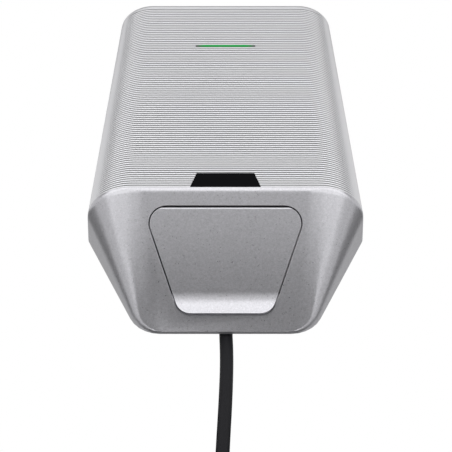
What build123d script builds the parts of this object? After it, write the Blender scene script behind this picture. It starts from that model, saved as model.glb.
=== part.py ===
"""Wall charger for electric cars: ribbed front cover, sloping socket flap, rear tray and supply lead.

Millimetres. X runs to the right, Y into the wall and Z up. The origin lies on the wall, in the middle
of the four wall screws. Heights called "level" are measured from the nose, the edge where the ribbed
front turns into the sloping lower face.
"""

import os
from math import atan, cos, pi, radians, sin, sqrt, tan

from build123d import *

os.makedirs("parts", exist_ok=True)

# Outer form of the covers
NOSE_Z = -85.0
RIM_Y = -22.0
COVER_DEPTH = 71.0
NOSE_HALF_WIDTH = 130.0
TOP_HALF_WIDTH = 107.8
BOTTOM_HALF_WIDTH = 78.5
UPPER_HEIGHT = 253.0
LOWER_HEIGHT = 111.2
BOTTOM_EDGE = 3.5
NOSE_CORNER_R = 42.2
TOP_CORNER_R = 33.7
BOTTOM_CORNER_R = 3.0
SIDE_DRAFT = 0.036
NOSE_EDGE_R = 8.0
WAIST_R = 12.0
BOTTOM_OUTLINE_R = 30.0
TOP_EDGE_R = 2.5
TOP_EDGE_MIDDLE = 0.75
WALL = 3.0
OVERLAP = 1.0
PARTING_LEVEL = 3.5

# Ribs of the front cover
RIB_COUNT = 92
RIB_DEPTH = 0.9
TOP_BAND = 6.0
CORNER_CHORDS = 6
NOSE_STEPS = 5
ARC_STEPS = 5

# Light bar and badge
LIGHT_LEVEL = 193.0
LIGHT_LENGTH = 59.0
LIGHT_HEIGHT = 2.6
LIGHT_FLANGE = 3.0
BADGE_HEIGHT = 17.5
BADGE_BOTTOM = 65.4
BADGE_TOP = 53.6
BADGE_THICK = 1.6
BADGE_GAP = 0.15
BADGE_PROUD = 0.2

# Flap on the sloping face, measured down the slope from the nose
FLAP_START = 15.5
FLAP_END = 114.2
FLAP_TOP_HALF = 75.3
FLAP_BOTTOM_HALF = 41.4
FLAP_TOP_R = 15.5
FLAP_BOTTOM_R = 14.0
FLAP_PLATE = 2.5
FLAP_GAP = 1.2
LIP_LENGTH = 18.0
LIP_R = 25.0
LIP_TURN = 35.0

# Flap hinge: a short pin at each upper corner
HINGE_DROP = 5.0
HINGE_DEPTH = 1.1
PIN_R = 0.7
PIN_START = 54.0
PIN_END = 70.4
RUNNING_GAP = 0.05
SEAT_GAP = 0.02

# Torsion springs behind the flap's upper edge, each on a pin between two ears
SPRING_X = 52.0
SPRING_DROP = 9.0
SPRING_DEPTH = 6.5
SPRING_PIN_R = 1.25
SPRING_WIRE = 0.8
SPRING_HALF = 4.2
SPRING_REACH = 2.0
SPRING_TOUCH = 0.1
EAR_R = 2.6
EAR_WIDTH = 4.0
EAR_SPAN = 12.8

# Pocket behind the flap
SHELF_DEPTH = 5.0
POCKET_DEPTH = 14.0
POCKET_END = 95.5
POCKET_WALL = 2.5

# Socket, on an axis square to the sloping face
SOCKET_DROP = 54.5
SOCKET_FRONT = 9.0
SOCKET_LENGTH = 34.0
SOCKET_FLANGE = 4.0
SOCKET_FLANGE_R = 39.0
SOCKET_FLANGE_FLAT = 33.5
SOCKET_OUTER_R = 32.0
SOCKET_WELL_R = 29.0
SOCKET_FLOOR = 4.0
SOCKET_SCREW_CIRCLE = 35.5
CARRIER_R = 22.5
CARRIER_SET_BACK = 3.0
SLEEVE_R = 4.0
SLEEVE_BORE_R = 3.0
SLEEVE_LENGTH = 20.0
SLEEVE_SET_BACK = 3.0
SIGNAL_RISE = 12.5
SIGNAL_HALF = 8.0
POWER_RISE = 1.0
POWER_HALF = 14.5
PHASE_RISE = -11.5
PHASE_HALF = 8.0

# Plug lock beside the socket
LOCK_DEPTH = 27.0
LOCK_R = 4.0
LOCK_TRAVEL = 5.5
LOCK_LENGTH = 22.0
LOCK_SET_BACK = 0.3
LOCK_BOX_LONG = 34.0
LOCK_BOX_TALL = 26.0
LOCK_BOX_DEEP = 18.0

# Rear tray on the wall
HOUSING_INSET = 13.0
HOUSING_TOP_GAP = 12.0
HOUSING_DROP = 70.0
HOUSING_DEPTH = 28.0
HOUSING_CORNER_R = 12.0
SEAL_THICK = 2.0
LEDGE_THICK = 3.0
WALL_SCREW_X = 160.0
WALL_SCREW_Z = 180.0
WALL_SCREW_R = 3.25
WALL_BOSS_R = 8.0
WALL_BOSS_HEIGHT = 3.0

# Screws that hold the covers
SCREW_R = 2.0
SCREW_HEAD_R = 3.5
SCREW_HEAD = 2.6
SCREW_LENGTH = 11.0
SMALL_SCREW_R = 1.5
SMALL_HEAD_R = 2.75
SMALL_HEAD = 2.0
SMALL_LENGTH = 8.0
JOINT_SCREW_X = 60.0
JOINT_FLANGE = 14.0
JOINT_HALF = 80.0
COVER_SCREW_X = 58.0
COVER_LUG_WIDTH = 18.0
COVER_LUG_REACH = 22.0
BOSS_R = 4.5
BOSS_HEIGHT = 12.0

# Electronics
BOARD_WIDTH = 136.0
BOARD_LEVEL = 35.0
BOARD_HEIGHT = 180.0
BOARD_THICK = 1.6
BOARD_STAND = 10.0
BOARD_HOLE_INSET = 8.0
RELAY_LEVEL = 105.0
RELAY_PITCH = 50.0
RELAY_WIDTH = 34.0
RELAY_HEIGHT = 46.0
RELAY_DEEP = 36.0
SUPPLY_LEVEL = 160.0
TRANSFORMER_X = -32.0
TRANSFORMER_WIDTH = 34.0
TRANSFORMER_HEIGHT = 32.0
TRANSFORMER_DEEP = 26.0
COIL_FORMER = 3.0
CAPACITOR_X = 32.0
CAPACITOR_R = 7.0
CAPACITOR_HEIGHT = 24.0
TERMINAL_LEVEL = 58.0
TERMINAL_X = -24.0
TERMINAL_WIDTH = 60.0
TERMINAL_HEIGHT = 22.0
TERMINAL_DEEP = 24.0
TERMINAL_WAYS = 5
TERMINAL_MOUTH = 7.0
SENSOR_X = 38.0
SENSOR_R = 18.0
SENSOR_BORE_R = 10.0
SENSOR_THICK = 14.0
RADIO_X = 0.0
RADIO_LEVEL = 197.0
RADIO_WIDTH = 30.0
RADIO_HEIGHT = 24.0
RADIO_DEEP = 4.0
LED_BOARD_WIDTH = 74.0
LED_BOARD_HEIGHT = 12.0

# Gland and supply cable
CABLE_R = 6.1
CABLE_Y = -14.5
CABLE_GAP = 0.3
GLAND_R = 10.0
GLAND_FLATS = 24.0
GLAND_HEX = 6.0
GLAND_NUT = 15.0
GLAND_NUT_FLATS = 22.0
GLAND_NUT_EASE = 2.0
LOCKNUT = 5.0
LOCKNUT_FLATS = 22.0
THREAD_END = 1.0
COIL_MEAN_R = 73.5
COIL_LEVEL = -336.0
COIL_BUNDLE = 26.0
COIL_Y = -15.0
TIE_WIDTH = 6.0
TIE_THICK = 1.2
CORE_R = 2.0
CORE_CIRCLE = 3.6
CORE_COUNT = 5
CORE_LENGTH = 55.0
FERRULE_R = 1.4
FERRULE_LENGTH = 12.0
ROUND_SHARE = 0.45

# Points of the hanging run, as x, y and level
CABLE_ROUTE = [
    (0.0, CABLE_Y, -58.0),
    (0.0, CABLE_Y, -96.0),
    (1.4, CABLE_Y, -134.0),
    (0.1, CABLE_Y, -180.0),
    (-2.2, CABLE_Y + 0.6, -226.0),
    (-4.3, CABLE_Y + 2.2, -282.0),
    (-5.0, CABLE_Y + 4.5, COIL_LEVEL),
]

# Values that follow from the sizes above
FRONT_Y = RIM_Y - COVER_DEPTH
PARTING_Z = NOSE_Z + PARTING_LEVEL
UPPER_SLOPE = (TOP_HALF_WIDTH - NOSE_HALF_WIDTH) / UPPER_HEIGHT
LOWER_SLOPE = (NOSE_HALF_WIDTH - BOTTOM_HALF_WIDTH) / LOWER_HEIGHT
FACE_SLOPE = (COVER_DEPTH - BOTTOM_EDGE) / LOWER_HEIGHT
TILT = atan(FACE_SLOPE)
SEAL_Y = -HOUSING_DEPTH
LEDGE_Y = SEAL_Y - SEAL_THICK
HOUSING_TOP = UPPER_HEIGHT - HOUSING_TOP_GAP
HOUSING_Z = NOSE_Z - HOUSING_DROP
HINGE_S = FLAP_START + HINGE_DROP
SPRING_S = FLAP_START + SPRING_DROP
SOCKET_BACK = SOCKET_FRONT + SOCKET_LENGTH
WELL_FLOOR = SOCKET_BACK - SOCKET_FLOOR
SEAL_DEPTH = SOCKET_FRONT + SOCKET_FLANGE
BOARD_Y = -WALL - BOARD_STAND
COIL_X = CABLE_ROUTE[-1][0] - COIL_MEAN_R
COIL_HALF = CABLE_R + OVERLAP
JOINT_SCREW_Y = FRONT_Y + WALL + JOINT_FLANGE / 2
COVER_SCREW_Y = LEDGE_Y - LEDGE_THICK + COVER_LUG_REACH - WALL - SCREW_HEAD_R
BOARD_HOLE_X = BOARD_WIDTH - 2 * BOARD_HOLE_INSET
BOARD_HOLE_Z = BOARD_HEIGHT - 2 * BOARD_HOLE_INSET


def arc_span(slope_above, slope_below, radius):
    """Levels of the centre, the upper end and the lower end of an arc between two lines."""
    above = sqrt(1 + slope_above**2)
    below = sqrt(1 + slope_below**2)
    centre = radius * (above - below) / (slope_above - slope_below)
    return centre, centre - radius * slope_above / above, centre - radius * slope_below / below


def rounded(level, corner, slope_above, slope_below, radius):
    """Distance at a level on two lines that meet at level 0, with an arc between them."""
    centre, top, bottom = arc_span(slope_above, slope_below, radius)
    if level >= top:
        return corner + slope_above * level
    if level <= bottom:
        return corner + slope_below * level
    middle = corner - radius * sqrt(1 + slope_above**2) + slope_above * centre
    return middle + sqrt(radius**2 - (level - centre) ** 2)


def half_width(level):
    """Half width of the covers at the rim."""
    arc_level = BOTTOM_OUTLINE_R - LOWER_HEIGHT
    lean = sqrt(1 + LOWER_SLOPE**2)
    if level < arc_level - BOTTOM_OUTLINE_R * LOWER_SLOPE / lean:
        arc_x = NOSE_HALF_WIDTH + LOWER_SLOPE * arc_level - BOTTOM_OUTLINE_R * lean
        return arc_x + sqrt(max(BOTTOM_OUTLINE_R**2 - (level - arc_level) ** 2, 0))
    return rounded(level, NOSE_HALF_WIDTH, UPPER_SLOPE, LOWER_SLOPE, WAIST_R)


def front_depth(level):
    """Depth of the covers from the rim to the front face."""
    return rounded(level, COVER_DEPTH, 0, FACE_SLOPE, NOSE_EDGE_R)


def corner_radius(level):
    """Radius of the upright corners."""
    if level >= 0:
        return NOSE_CORNER_R + (TOP_CORNER_R - NOSE_CORNER_R) * level / UPPER_HEIGHT
    return NOSE_CORNER_R + (NOSE_CORNER_R - BOTTOM_CORNER_R) * level / LOWER_HEIGHT


def section(level, side_inset=0.0, front_inset=0.0, rear=0.0):
    """U-shaped section of the covers at a level, with true arcs at its two corners."""
    depth = front_depth(level) - front_inset
    wide = half_width(level) - side_inset
    narrow = wide - SIDE_DRAFT * depth
    radius = corner_radius(level) - max(side_inset, front_inset)
    with BuildSketch(Plane.XY.offset(NOSE_Z + level)) as outline:
        with BuildLine():
            FilletPolyline(
                (wide + SIDE_DRAFT * rear, RIM_Y + rear),
                (narrow, RIM_Y - depth),
                (-narrow, RIM_Y - depth),
                (-wide - SIDE_DRAFT * rear, RIM_Y + rear),
                radius=radius,
            )
            Line((-wide - SIDE_DRAFT * rear, RIM_Y + rear), (wide + SIDE_DRAFT * rear, RIM_Y + rear))
        make_face()
    return outline.sketch


def rib_section(level, push=0.0, inset=0.0):
    """U-shaped section with chords at its corners, its front set back by push."""
    wide = half_width(level) - inset
    radius = corner_radius(level) - inset
    lean = atan(SIDE_DRAFT)
    centre_y = FRONT_Y + inset + radius
    centre_x = wide - SIDE_DRAFT * (RIM_Y - centre_y) - radius / cos(lean)
    turns = [(pi / 2 - lean) * step / CORNER_CHORDS for step in range(CORNER_CHORDS + 1)]
    corner = [(centre_x + radius * sin(turn), centre_y + push - radius * cos(turn)) for turn in turns]
    left = [(-x, y) for x, y in corner]
    with BuildSketch(Plane.XY.offset(NOSE_Z + level)) as outline:
        with BuildLine():
            Polyline((wide, RIM_Y), *reversed(corner), *left, (-wide, RIM_Y), close=True)
        make_face()
    return outline.sketch


def slope_plane(drop, depth):
    """Plane parallel to the sloping face, its X to the right, its Y up the slope and its Z outward."""
    return Plane(
        origin=(
            0,
            FRONT_Y + drop * sin(TILT) + depth * cos(TILT),
            NOSE_Z - drop * cos(TILT) + depth * sin(TILT),
        ),
        x_dir=(1, 0, 0),
        z_dir=(0, -cos(TILT), -sin(TILT)),
    )


def slope_section(x):
    """Upright plane across the slope, its X down the slope and its Y into the wall."""
    return Plane(origin=(x, FRONT_Y, NOSE_Z), x_dir=(0, sin(TILT), -cos(TILT)), z_dir=(1, 0, 0))


def wall_plane(y):
    """Plane parallel to the wall, facing forward, its X to the right and its Y up."""
    return Plane(origin=(0, y, NOSE_Z), x_dir=(1, 0, 0), z_dir=(0, -1, 0))


def flap_outline(grow=0.0):
    """Outline of the flap on a slope plane through the nose, grown by a gap."""
    with BuildSketch() as outline:
        with BuildLine():
            FilletPolyline(
                (-FLAP_TOP_HALF, -FLAP_START),
                (FLAP_TOP_HALF, -FLAP_START),
                (FLAP_BOTTOM_HALF, -FLAP_END),
                (-FLAP_BOTTOM_HALF, -FLAP_END),
                radius=[FLAP_TOP_R, FLAP_TOP_R, FLAP_BOTTOM_R, FLAP_BOTTOM_R],
                close=True,
            )
        make_face()
        if grow:
            offset(amount=grow)
    return outline.sketch


def pocket_outline(grow, end):
    """Outline of the deep pocket: the flap's, grown by a gap and cut off square at its lower end."""
    with BuildSketch() as outline:
        add(flap_outline(grow))
        with Locations((0, -end)):
            Rectangle(4 * FLAP_TOP_HALF, FLAP_END, align=(Align.CENTER, Align.MIN), mode=Mode.INTERSECT)
    return outline.sketch


def housing_outline(inset=0.0):
    """Outline of the rear tray on a wall plane."""
    bottom = -HOUSING_DROP + inset
    top = HOUSING_TOP - inset
    right = [
        (half_width(bottom) - HOUSING_INSET - inset, bottom),
        (NOSE_HALF_WIDTH - HOUSING_INSET - inset, 0),
        (half_width(top) - HOUSING_INSET - inset, top),
    ]
    left = [(-x, z) for x, z in reversed(right)]
    with BuildSketch() as outline:
        with BuildLine():
            FilletPolyline(*right, *left, radius=HOUSING_CORNER_R - inset, close=True)
        make_face()
    return outline.sketch


def ledge_outline(low, high):
    """Ledge inside the covers, between two levels, that the seal presses on."""
    levels = [high, 0, low] if low < 0 else [high, low]
    right = [(half_width(level) - WALL + OVERLAP, level) for level in levels]
    left = [(-x, z) for x, z in reversed(right)]
    with BuildSketch() as outline:
        with BuildLine():
            Polyline(*right, *left, close=True)
        make_face()
        add(housing_outline(WALL), mode=Mode.SUBTRACT)
    return outline.sketch


def flange_outline():
    """Socket flange on a slope plane: a disc with flats above and below, and its screw holes."""
    with BuildSketch() as outline:
        Circle(SOCKET_FLANGE_R)
        Rectangle(2 * SOCKET_FLANGE_R, 2 * SOCKET_FLANGE_FLAT, mode=Mode.INTERSECT)
        with PolarLocations(SOCKET_SCREW_CIRCLE, 4, start_angle=45):
            Circle(SMALL_SCREW_R + SEAT_GAP, mode=Mode.SUBTRACT)
    return outline.sketch


def badge_outline(gap=0.0):
    """Trapezoid of the badge on a wall plane, drawn in by a gap."""
    low = PARTING_LEVEL + gap
    high = PARTING_LEVEL + BADGE_HEIGHT - gap
    with BuildSketch() as outline:
        with BuildLine():
            Polyline(
                (-BADGE_BOTTOM / 2 + gap, low),
                (BADGE_BOTTOM / 2 - gap, low),
                (BADGE_TOP / 2 - gap, high),
                (-BADGE_TOP / 2 + gap, high),
                close=True,
            )
        make_face()
    return outline.sketch


def add_screw(radius, head_radius, head, length):
    """Pan-head screw at the current location, its head up and its shank down from the origin."""
    Cylinder(head_radius, head, align=(Align.CENTER, Align.CENTER, Align.MIN))
    Cylinder(radius, length, align=(Align.CENTER, Align.CENTER, Align.MAX))


# Front cover: zigzag ribs lofted from section to section, then hollowed
rib_start = PARTING_LEVEL
rib_end = UPPER_HEIGHT - TOP_BAND
rib_half_pitch = (rib_end - rib_start) / (2 * RIB_COUNT)
rib_sections = [
    rib_section(rib_start + step * rib_half_pitch, push=RIB_DEPTH * ((step + 1) % 2))
    for step in range(2 * RIB_COUNT + 1)
]
with BuildPart() as front_cover:
    loft(
        sections=[
            *rib_sections,
            rib_section(rib_end + rib_half_pitch),
            rib_section(UPPER_HEIGHT - TOP_EDGE_R),
            rib_section(UPPER_HEIGHT - TOP_EDGE_MIDDLE, inset=TOP_EDGE_MIDDLE),
            rib_section(UPPER_HEIGHT, inset=TOP_EDGE_R),
        ],
        ruled=True,
    )
    loft(
        sections=[section(level, WALL, WALL, rear=WALL) for level in (rib_start - OVERLAP, UPPER_HEIGHT - WALL)],
        ruled=True,
        mode=Mode.SUBTRACT,
    )
    with BuildSketch(wall_plane(LEDGE_Y)):
        add(ledge_outline(PARTING_LEVEL, UPPER_HEIGHT - WALL + OVERLAP))
    extrude(amount=LEDGE_THICK)
    with BuildSketch(Plane.XY.offset(PARTING_Z)):
        with Locations((0, FRONT_Y + WALL - OVERLAP)):
            Rectangle(2 * JOINT_HALF, JOINT_FLANGE, align=(Align.CENTER, Align.MIN))
        with Locations((0, JOINT_SCREW_Y)):
            with GridLocations(JOINT_SCREW_X, 1, 3, 1):
                Circle(SCREW_R + SEAT_GAP, mode=Mode.SUBTRACT)
    extrude(amount=LEDGE_THICK)
    with BuildSketch(wall_plane(FRONT_Y)):
        add(badge_outline())
    extrude(amount=-BADGE_THICK, mode=Mode.SUBTRACT)
    with BuildSketch(wall_plane(FRONT_Y)):
        with Locations((0, LIGHT_LEVEL)):
            Rectangle(LIGHT_LENGTH, LIGHT_HEIGHT)
    extrude(amount=-2 * WALL, mode=Mode.SUBTRACT)
front_cover.part.label = "front_cover"
export_step(front_cover.part, "parts/front_cover.step")

# Lower cover: lofted shell with the flap's pocket, hinge ears and the socket's seat
nose_end = min(
    arc_span(0, FACE_SLOPE, NOSE_EDGE_R)[2],
    arc_span(UPPER_SLOPE, LOWER_SLOPE, WAIST_R)[2],
)
nose_levels = [
    PARTING_LEVEL + (nose_end - PARTING_LEVEL) * step / NOSE_STEPS for step in range(NOSE_STEPS + 1)
]
arc_start = atan(LOWER_SLOPE)
arc_levels = [
    BOTTOM_OUTLINE_R * (1 - sin(arc_start + (pi / 2 - arc_start) * step / ARC_STEPS)) - LOWER_HEIGHT
    for step in range(ARC_STEPS + 1)
]
cavity_end = (WALL / cos(TILT) + BOTTOM_CORNER_R - COVER_DEPTH) / FACE_SLOPE
cavity_levels = [PARTING_LEVEL + OVERLAP, 0, arc_levels[0], (arc_levels[0] + cavity_end) / 2, cavity_end]
ear_places = [
    side * SPRING_X + way * EAR_SPAN / 2 for side in (-1, 1) for way in (-1, 1)
]
with BuildPart() as lower_cover:
    loft(
        sections=[section(level) for level in (*nose_levels, *arc_levels)],
        ruled=True,
    )
    outer_form = lower_cover.part
    loft(
        sections=[section(level, WALL, WALL / cos(TILT), rear=WALL) for level in cavity_levels],
        ruled=True,
        mode=Mode.SUBTRACT,
    )
    with BuildSketch(slope_plane(0, 0)):
        add(flap_outline(FLAP_GAP + POCKET_WALL))
    extrude(amount=-SHELF_DEPTH - POCKET_WALL)
    with BuildSketch(slope_plane(0, 0)):
        add(pocket_outline(FLAP_GAP + POCKET_WALL, POCKET_END + POCKET_WALL))
    extrude(amount=-POCKET_DEPTH - WALL)
    with BuildSketch(wall_plane(LEDGE_Y)):
        add(ledge_outline(-HOUSING_DROP - LEDGE_THICK, PARTING_LEVEL))
    extrude(amount=LEDGE_THICK)
    add(outer_form, mode=Mode.INTERSECT)
    with BuildSketch(slope_plane(0, 0)):
        add(flap_outline(FLAP_GAP))
    extrude(amount=-SHELF_DEPTH, mode=Mode.SUBTRACT)
    with BuildSketch(slope_plane(0, 0)):
        add(pocket_outline(FLAP_GAP, POCKET_END))
    extrude(amount=-POCKET_DEPTH, mode=Mode.SUBTRACT)
    with BuildSketch(Plane.XY.offset(PARTING_Z)):
        with Locations((0, FRONT_Y + WALL - OVERLAP)):
            Rectangle(2 * JOINT_HALF, JOINT_FLANGE, align=(Align.CENTER, Align.MIN))
        with Locations((0, JOINT_SCREW_Y)):
            with GridLocations(JOINT_SCREW_X, 1, 3, 1):
                Circle(SCREW_R + SEAT_GAP, mode=Mode.SUBTRACT)
    extrude(amount=-LEDGE_THICK)
    with BuildSketch(Plane.XY.offset(HOUSING_Z - SEAT_GAP)):
        with Locations((0, LEDGE_Y - LEDGE_THICK)):
            with GridLocations(2 * COVER_SCREW_X, 1, 2, 1):
                Rectangle(COVER_LUG_WIDTH, COVER_LUG_REACH, align=(Align.CENTER, Align.MIN))
        with Locations((0, COVER_SCREW_Y)):
            with GridLocations(2 * COVER_SCREW_X, 1, 2, 1):
                Circle(SCREW_R + SEAT_GAP, mode=Mode.SUBTRACT)
    extrude(amount=-LEDGE_THICK)
    for x in ear_places:
        with BuildSketch(slope_section(x)):
            with Locations((SPRING_S, SPRING_DEPTH)):
                Circle(EAR_R)
                Rectangle(2 * EAR_R, POCKET_DEPTH - SPRING_DEPTH + OVERLAP, align=(Align.CENTER, Align.MIN))
                Circle(SPRING_PIN_R + SEAT_GAP, mode=Mode.SUBTRACT)
        extrude(amount=EAR_WIDTH / 2, both=True)
    with BuildSketch(slope_section(0)):
        with Locations((HINGE_S, HINGE_DEPTH)):
            Circle(PIN_R + RUNNING_GAP)
    extrude(amount=PIN_END + SEAT_GAP, both=True, mode=Mode.SUBTRACT)
    with BuildSketch(slope_plane(SOCKET_DROP, 0)):
        Circle(SOCKET_OUTER_R + SEAT_GAP)
        with PolarLocations(SOCKET_SCREW_CIRCLE, 4, start_angle=45):
            Circle(SMALL_SCREW_R + SEAT_GAP)
    extrude(amount=-POCKET_DEPTH - 2 * WALL, mode=Mode.SUBTRACT)
lower_cover.part.label = "lower_cover"
export_step(lower_cover.part, "parts/lower_cover.step")

# Flap: a bent profile drawn out sideways and cut to the outline, with bores for its two pins
lip_start = FLAP_END - LIP_LENGTH
lip_turn = radians(LIP_TURN)
outer_bend_end = (lip_start + LIP_R * sin(lip_turn), LIP_R * (cos(lip_turn) - 1))
inner_r = LIP_R + FLAP_PLATE
inner_bend_end = (lip_start + inner_r * sin(lip_turn), inner_r * cos(lip_turn) - LIP_R)
outer_tip = outer_bend_end[1] - (FLAP_END - outer_bend_end[0]) * tan(lip_turn)
inner_tip = inner_bend_end[1] - (FLAP_END - inner_bend_end[0]) * tan(lip_turn)
with BuildPart() as flap:
    with BuildSketch(slope_section(0)):
        with BuildLine():
            CenterArc((FLAP_START + FLAP_PLATE, FLAP_PLATE), FLAP_PLATE, 180, 90)
            Line((FLAP_START + FLAP_PLATE, 0), (lip_start, 0))
            CenterArc((lip_start, -LIP_R), LIP_R, 90, -LIP_TURN)
            Polyline(outer_bend_end, (FLAP_END, outer_tip), (FLAP_END, inner_tip), inner_bend_end)
            CenterArc((lip_start, -LIP_R), inner_r, 90, -LIP_TURN)
            Line((lip_start, FLAP_PLATE), (FLAP_START, FLAP_PLATE))
        make_face()
    extrude(amount=FLAP_TOP_HALF, both=True)
    with BuildSketch(slope_plane(0, 0)):
        add(flap_outline())
    extrude(amount=LIP_LENGTH, both=True, mode=Mode.INTERSECT)
    for x in (-PIN_START, PIN_START):
        with BuildSketch(slope_section(x)):
            with Locations((HINGE_S, HINGE_DEPTH)):
                Circle(PIN_R + SEAT_GAP)
        extrude(amount=PIN_START if x > 0 else -PIN_START, mode=Mode.SUBTRACT)
flap.part.label = "flap"
export_step(flap.part, "parts/flap.step")

# Hinge pins, pressed into the flap and running in the cover
with BuildPart() as hinge_pins:
    for side in (-1, 1):
        with BuildSketch(slope_section(side * (PIN_START + SEAT_GAP))):
            with Locations((HINGE_S, HINGE_DEPTH)):
                Circle(PIN_R)
        extrude(amount=side * (PIN_END - PIN_START))
hinge_pins.part.label = "hinge_pins"
export_step(hinge_pins.part, "parts/hinge_pins.step")

# Spring pins, held in the ears
with BuildPart() as spring_pins:
    for side in (-1, 1):
        with BuildSketch(slope_section(side * SPRING_X)):
            with Locations((SPRING_S, SPRING_DEPTH)):
                Circle(SPRING_PIN_R)
        extrude(amount=(EAR_SPAN + EAR_WIDTH) / 2, both=True)
spring_pins.part.label = "spring_pins"
export_step(spring_pins.part, "parts/spring_pins.step")

# Torsion springs: close-wound coils, one leg on the flap above its hinge and one on the pocket's floor
spring_r = SPRING_PIN_R + RUNNING_GAP + SPRING_WIRE
leg_tip = (HINGE_S - SPRING_REACH, FLAP_PLATE + SPRING_TOUCH)
leg_root = (SPRING_S, SPRING_DEPTH - spring_r)
with BuildPart() as flap_spring:
    for side in (-1, 1):
        with BuildSketch(slope_section(side * SPRING_X)):
            with Locations((SPRING_S, SPRING_DEPTH)):
                Circle(spring_r)
                Circle(SPRING_PIN_R + RUNNING_GAP, mode=Mode.SUBTRACT)
        extrude(amount=SPRING_HALF, both=True)
        with BuildSketch(slope_section(side * (SPRING_X - SPRING_HALF))):
            with BuildLine():
                Polyline(
                    leg_tip,
                    leg_root,
                    (leg_root[0], leg_root[1] + SPRING_WIRE),
                    (leg_tip[0], leg_tip[1] + SPRING_WIRE),
                    close=True,
                )
            make_face()
        extrude(amount=side * SPRING_WIRE)
        with BuildSketch(slope_section(side * (SPRING_X + SPRING_HALF))):
            with Locations((SPRING_S + spring_r, SPRING_DEPTH)):
                Rectangle(SPRING_WIRE, POCKET_DEPTH - SPRING_DEPTH, align=(Align.MAX, Align.MIN))
        extrude(amount=-side * SPRING_WIRE)
flap_spring.part.label = "flap_spring"
export_step(flap_spring.part, "parts/flap_spring.step")

# Centre of the plug lock, as y and z on an upright plane square to X
lock_plane = slope_plane(SOCKET_DROP, LOCK_DEPTH)
lock_centre = (lock_plane.origin.Y, lock_plane.origin.Z)

# Socket: flanged cup, the carrier in its well and the sleeves in the carrier
with BuildPart() as socket_body:
    with BuildSketch(slope_plane(SOCKET_DROP, SOCKET_FRONT)):
        add(flange_outline())
    extrude(amount=-SOCKET_FLANGE)
    with BuildSketch(slope_plane(SOCKET_DROP, SOCKET_FRONT)):
        Circle(SOCKET_OUTER_R)
    extrude(amount=-SOCKET_LENGTH)
    with BuildSketch(slope_plane(SOCKET_DROP, SOCKET_FRONT)):
        Circle(SOCKET_WELL_R)
    extrude(amount=-SOCKET_LENGTH + SOCKET_FLOOR, mode=Mode.SUBTRACT)
    with BuildSketch(Plane.YZ.offset(SOCKET_WELL_R - OVERLAP)):
        with Locations(lock_centre):
            Circle(LOCK_R + RUNNING_GAP)
    extrude(amount=SOCKET_OUTER_R - SOCKET_WELL_R + 2 * OVERLAP, mode=Mode.SUBTRACT)
socket_body.part.label = "socket_body"
export_step(socket_body.part, "parts/socket_body.step")

contact_places = [
    (-SIGNAL_HALF, SIGNAL_RISE),
    (SIGNAL_HALF, SIGNAL_RISE),
    (-POWER_HALF, POWER_RISE),
    (0, POWER_RISE),
    (POWER_HALF, POWER_RISE),
    (-PHASE_HALF, PHASE_RISE),
    (PHASE_HALF, PHASE_RISE),
]
with BuildPart() as contact_carrier:
    with BuildSketch(slope_plane(SOCKET_DROP, SOCKET_FRONT + CARRIER_SET_BACK)):
        Circle(CARRIER_R)
    extrude(amount=SOCKET_FRONT + CARRIER_SET_BACK - WELL_FLOOR)
    with BuildSketch(slope_plane(SOCKET_DROP, SOCKET_FRONT + CARRIER_SET_BACK)):
        with Locations(*contact_places):
            Circle(SLEEVE_R + SEAT_GAP)
    extrude(amount=-SLEEVE_SET_BACK - SLEEVE_LENGTH, mode=Mode.SUBTRACT)
contact_carrier.part.label = "contact_carrier"
export_step(contact_carrier.part, "parts/contact_carrier.step")

with BuildPart() as contact_sleeves:
    with BuildSketch(slope_plane(SOCKET_DROP, SOCKET_FRONT + CARRIER_SET_BACK + SLEEVE_SET_BACK)):
        with Locations(*contact_places):
            Circle(SLEEVE_R)
            Circle(SLEEVE_BORE_R, mode=Mode.SUBTRACT)
    extrude(amount=-SLEEVE_LENGTH)
contact_sleeves.part.label = "contact_sleeves"
export_step(contact_sleeves.part, "parts/contact_sleeves.step")

# Flat seal between the socket's flange and the pocket's floor
with BuildPart() as socket_seal:
    with BuildSketch(slope_plane(SOCKET_DROP, SEAL_DEPTH)):
        add(flange_outline())
        Circle(SOCKET_OUTER_R + SEAT_GAP, mode=Mode.SUBTRACT)
    extrude(amount=SEAL_DEPTH - POCKET_DEPTH)
socket_seal.part.label = "socket_seal"
export_step(socket_seal.part, "parts/socket_seal.step")

with BuildPart(slope_plane(SOCKET_DROP, SOCKET_FRONT)) as socket_screws:
    with PolarLocations(SOCKET_SCREW_CIRCLE, 4, start_angle=45):
        add_screw(SMALL_SCREW_R, SMALL_HEAD_R, SMALL_HEAD, SMALL_LENGTH)
socket_screws.part.label = "socket_screws"
export_step(socket_screws.part, "parts/socket_screws.step")

# Plug lock: a motor box saddled on the cup, and the pin that slides out of it
with BuildPart() as lock_actuator:
    with BuildSketch(slope_plane(SOCKET_DROP, LOCK_DEPTH - LOCK_BOX_DEEP / 2)):
        with Locations((SOCKET_WELL_R, 0)):
            Rectangle(LOCK_BOX_LONG, LOCK_BOX_TALL, align=(Align.MIN, Align.CENTER))
        Circle(SOCKET_OUTER_R + SEAT_GAP, mode=Mode.SUBTRACT)
    extrude(amount=-LOCK_BOX_DEEP)
    with BuildSketch(Plane.YZ.offset(SOCKET_WELL_R)):
        with Locations(lock_centre):
            Circle(LOCK_R + RUNNING_GAP)
    extrude(amount=LOCK_LENGTH + LOCK_TRAVEL, mode=Mode.SUBTRACT)
lock_actuator.part.label = "lock_actuator"
export_step(lock_actuator.part, "parts/lock_actuator.step")

with BuildPart() as lock_pin:
    with BuildSketch(Plane.YZ.offset(SOCKET_WELL_R + LOCK_SET_BACK)):
        with Locations(lock_centre):
            Circle(LOCK_R)
    extrude(amount=LOCK_LENGTH)
    chamfer(lock_pin.faces().sort_by(Axis.X)[0].edges(), length=LOCK_R / 4)
lock_pin.part.label = "lock_pin"
export_step(lock_pin.part, "parts/lock_pin.step")

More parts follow.
